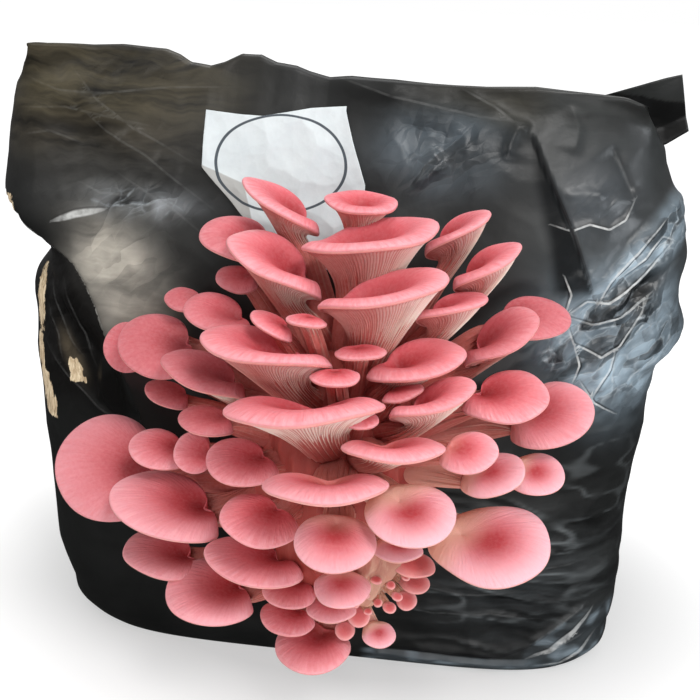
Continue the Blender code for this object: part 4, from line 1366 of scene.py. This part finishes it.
def paper_material():
    graph = new_material("label_paper_look")
    where = graph.where()
    fibres = graph.noise(where, 700.0, 4.0, 0.7)
    clouds = graph.noise(where, 70.0, 4.0, 0.6)
    paper = graph.mix(graph.spread(clouds, 0.4, 0.75, 0.0, 0.7), (0.65, 0.70, 0.715), (0.54, 0.59, 0.615))
    paper = graph.mix(graph.spread(fibres, 0.4, 0.7, 0.0, 0.2), paper, (0.60, 0.63, 0.64))
    # Painted shade on the curled lower left corner
    folded = graph.spread(graph.attribute("shade"), -0.2, 0.3, 0.0, 0.8)
    paper = graph.mix(folded, paper, (0.33, 0.32, 0.30))
    line = graph.spread(graph.attribute("ring"), 0.50, 0.62, 0.92, 0.0)
    return graph.finish(
        Base_Color=graph.mix(line, paper, (0.022, 0.034, 0.048)),
        Roughness=0.75,
        Specular_IOR_Level=0.3,
        Normal=graph.bump(clouds, 0.0012, 0.35, graph.bump(fibres, 0.0002, 0.4)),
    )


def substrate_look():
    graph = new_material("packed_straw")
    where = graph.where()
    straws = graph.noise(where, (420.0, 420.0, 70.0), 5.0, 0.7, 0.8)
    crumbs = graph.noise(where, 420.0, 4.0, 0.65)
    colour = graph.ramp(
        straws, (0.3, (0.12, 0.07, 0.03)), (0.5, (0.42, 0.29, 0.15)), (0.7, (0.72, 0.58, 0.36)),
    )
    return graph.finish(
        Base_Color=graph.mix(graph.spread(crumbs, 0.5, 0.8, 0.0, 0.7), colour, (0.80, 0.74, 0.62)),
        Roughness=0.9,
        Specular_IOR_Level=0.2,
        Normal=graph.bump(straws, 0.002, 0.8, graph.bump(crumbs, 0.001, 0.6)),
    )


# ---------------------------------------------------------------- studio

def make_floor():
    """A plain pale floor that glows a little, more so away from the object, to meet the white backdrop; its
    weaker glow near the object paints a soft shadow around it.
    """
    graph = new_material("pale_floor")
    deeper = graph.node("VectorMath", {0: graph.where(), 1: (1, 1.45, 1)}, operation="MULTIPLY")
    reach = graph.node("VectorMath", {0: deeper.outputs["Vector"]}, operation="LENGTH")
    pale = graph.finish(
        Base_Color=(0.34, 0.34, 0.34, 1),
        Roughness=0.9,
        Specular_IOR_Level=0.1,
        Emission_Color=(1, 1, 1, 1),
        Emission_Strength=graph.spread(reach.outputs["Value"], 0.15, 0.27, 0.46, 0.90),
    )
    sides, radius = 96, 60
    mesh = bpy.data.meshes.new("floor")
    turns = [2 * math.pi * side / sides for side in range(sides)]
    ring = [(radius * math.cos(turn), radius * math.sin(turn), 0) for turn in turns]
    mesh.from_pydata(ring, [], [tuple(range(sides))])
    mesh.materials.append(pale)
    floor = add_to_scene("floor", mesh)
    floor.visible_glossy = False


def make_sky():
    """A white backdrop that lights the object softly from above and hardly from below."""
    world = bpy.data.worlds.new("studio")
    bpy.context.scene.world = world
    graph = Graph(world)
    where = graph.node("TexCoord").outputs["Generated"]
    height = graph.spread(graph.node("SeparateXYZ", {"Vector": where}).outputs["Z"], -1.0, 1.0)
    stops = ((0.30, 0.03), (0.52, 0.13), (0.72, 0.45), (1.0, 0.75))
    shade = graph.ramp(height, *((place, (value,) * 3) for place, value in stops))
    soft = graph.tree.nodes["Background"]
    graph.put(shade, soft.inputs["Color"])
    white = graph.node("Background", {"Color": (1, 1, 1, 1)})
    seen = graph.node("LightPath").outputs["Is Camera Ray"]
    blend = graph.node("MixShader", {0: seen, 1: soft.outputs["Background"], 2: white.outputs["Background"]})
    graph.put(blend.outputs["Shader"], graph.tree.nodes["World Output"].inputs["Surface"])


def add_area(place, target, size, power, colour):
    light = bpy.data.lights.new("soft_light", "AREA")
    light.shape = "DISK"
    light.size = size
    light.energy = power
    light.color = colour
    holder = add_to_scene("soft_light", light)
    holder.location = place
    holder.rotation_euler = (Vector(target) - Vector(place)).to_track_quat("-Z", "Y").to_euler()


def add_camera():
    """The camera at the photograph's angle."""
    camera = bpy.data.cameras.new("camera")
    camera.lens = 50
    camera.sensor_width = 36
    camera.shift_y = 6 / 700
    azimuth, elevation, roll = (math.radians(value) for value in (5, 20, 3))
    level = math.cos(elevation)
    back = Vector((math.sin(azimuth) * level, -math.cos(azimuth) * level, math.sin(elevation)))
    right = Vector((math.cos(azimuth), math.sin(azimuth), 0))
    up = back.cross(right)
    rolled_right = right * math.cos(roll) + up * math.sin(roll)
    rolled_up = up * math.cos(roll) - right * math.sin(roll)
    aim, distance = Vector((0, FRONT_PLANE, 0.163)), 0.445
    turn = Matrix((rolled_right, rolled_up, back)).transposed().to_4x4()
    holder = add_to_scene("camera", camera)
    holder.matrix_world = Matrix.Translation(aim + back * distance) @ turn
    bpy.context.scene.camera = holder


def make_studio():
    """A pale floor, a white backdrop, soft lights and the camera."""
    make_floor()
    make_sky()
    add_area((0.50, -0.95, 1.30), (0.0, -0.12, 0.15), 0.45, 9.0, (1.0, 0.985, 0.965))
    add_area((-0.85, -0.80, 0.85), (0.0, -0.05, 0.16), 0.40, 1.8, (1.0, 0.96, 0.90))
    add_area((1.00, -0.60, 0.45), (0.06, -0.08, 0.15), 0.35, 3.6, (0.90, 0.95, 1.0))
    add_area((0.25, -1.25, 0.10), (0.0, -0.10, 0.14), 0.60, 3.0, (1.0, 1.0, 1.0))
    add_area((0.0, 0.25, 1.5), (0.0, -0.05, 0.1), 0.9, 6.0, (1.0, 1.0, 1.0))
    add_camera()
    bpy.context.scene.view_settings.view_transform = "Standard"


# ---------------------------------------------------------------- putting it together

def dress(piece, node, material):
    """Give a piece its material and let it stand for its solid."""
    piece.data.materials.clear()
    piece.data.materials.append(material)
    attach(piece, "root")
    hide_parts(node)


make_studio()
dress(make_film(), "grow_bag", film_material())
dress(make_label(), "label", paper_material())
dress(make_base_tissue(), "cluster_base", tissue_material())
flesh = mushroom_material()
for region, rows in MUSHROOMS.items():
    for index, row in enumerate(rows):
        end = "%s_%d" % (region, index + 1)
        seed = sum(ord(letter) for letter in region) * 20 + index
        dress(make_mushroom("oyster_" + end, row, seed), "mushroom_" + end, flesh)
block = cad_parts["substrate_block"]
block.data.materials.clear()
block.data.materials.append(substrate_look())
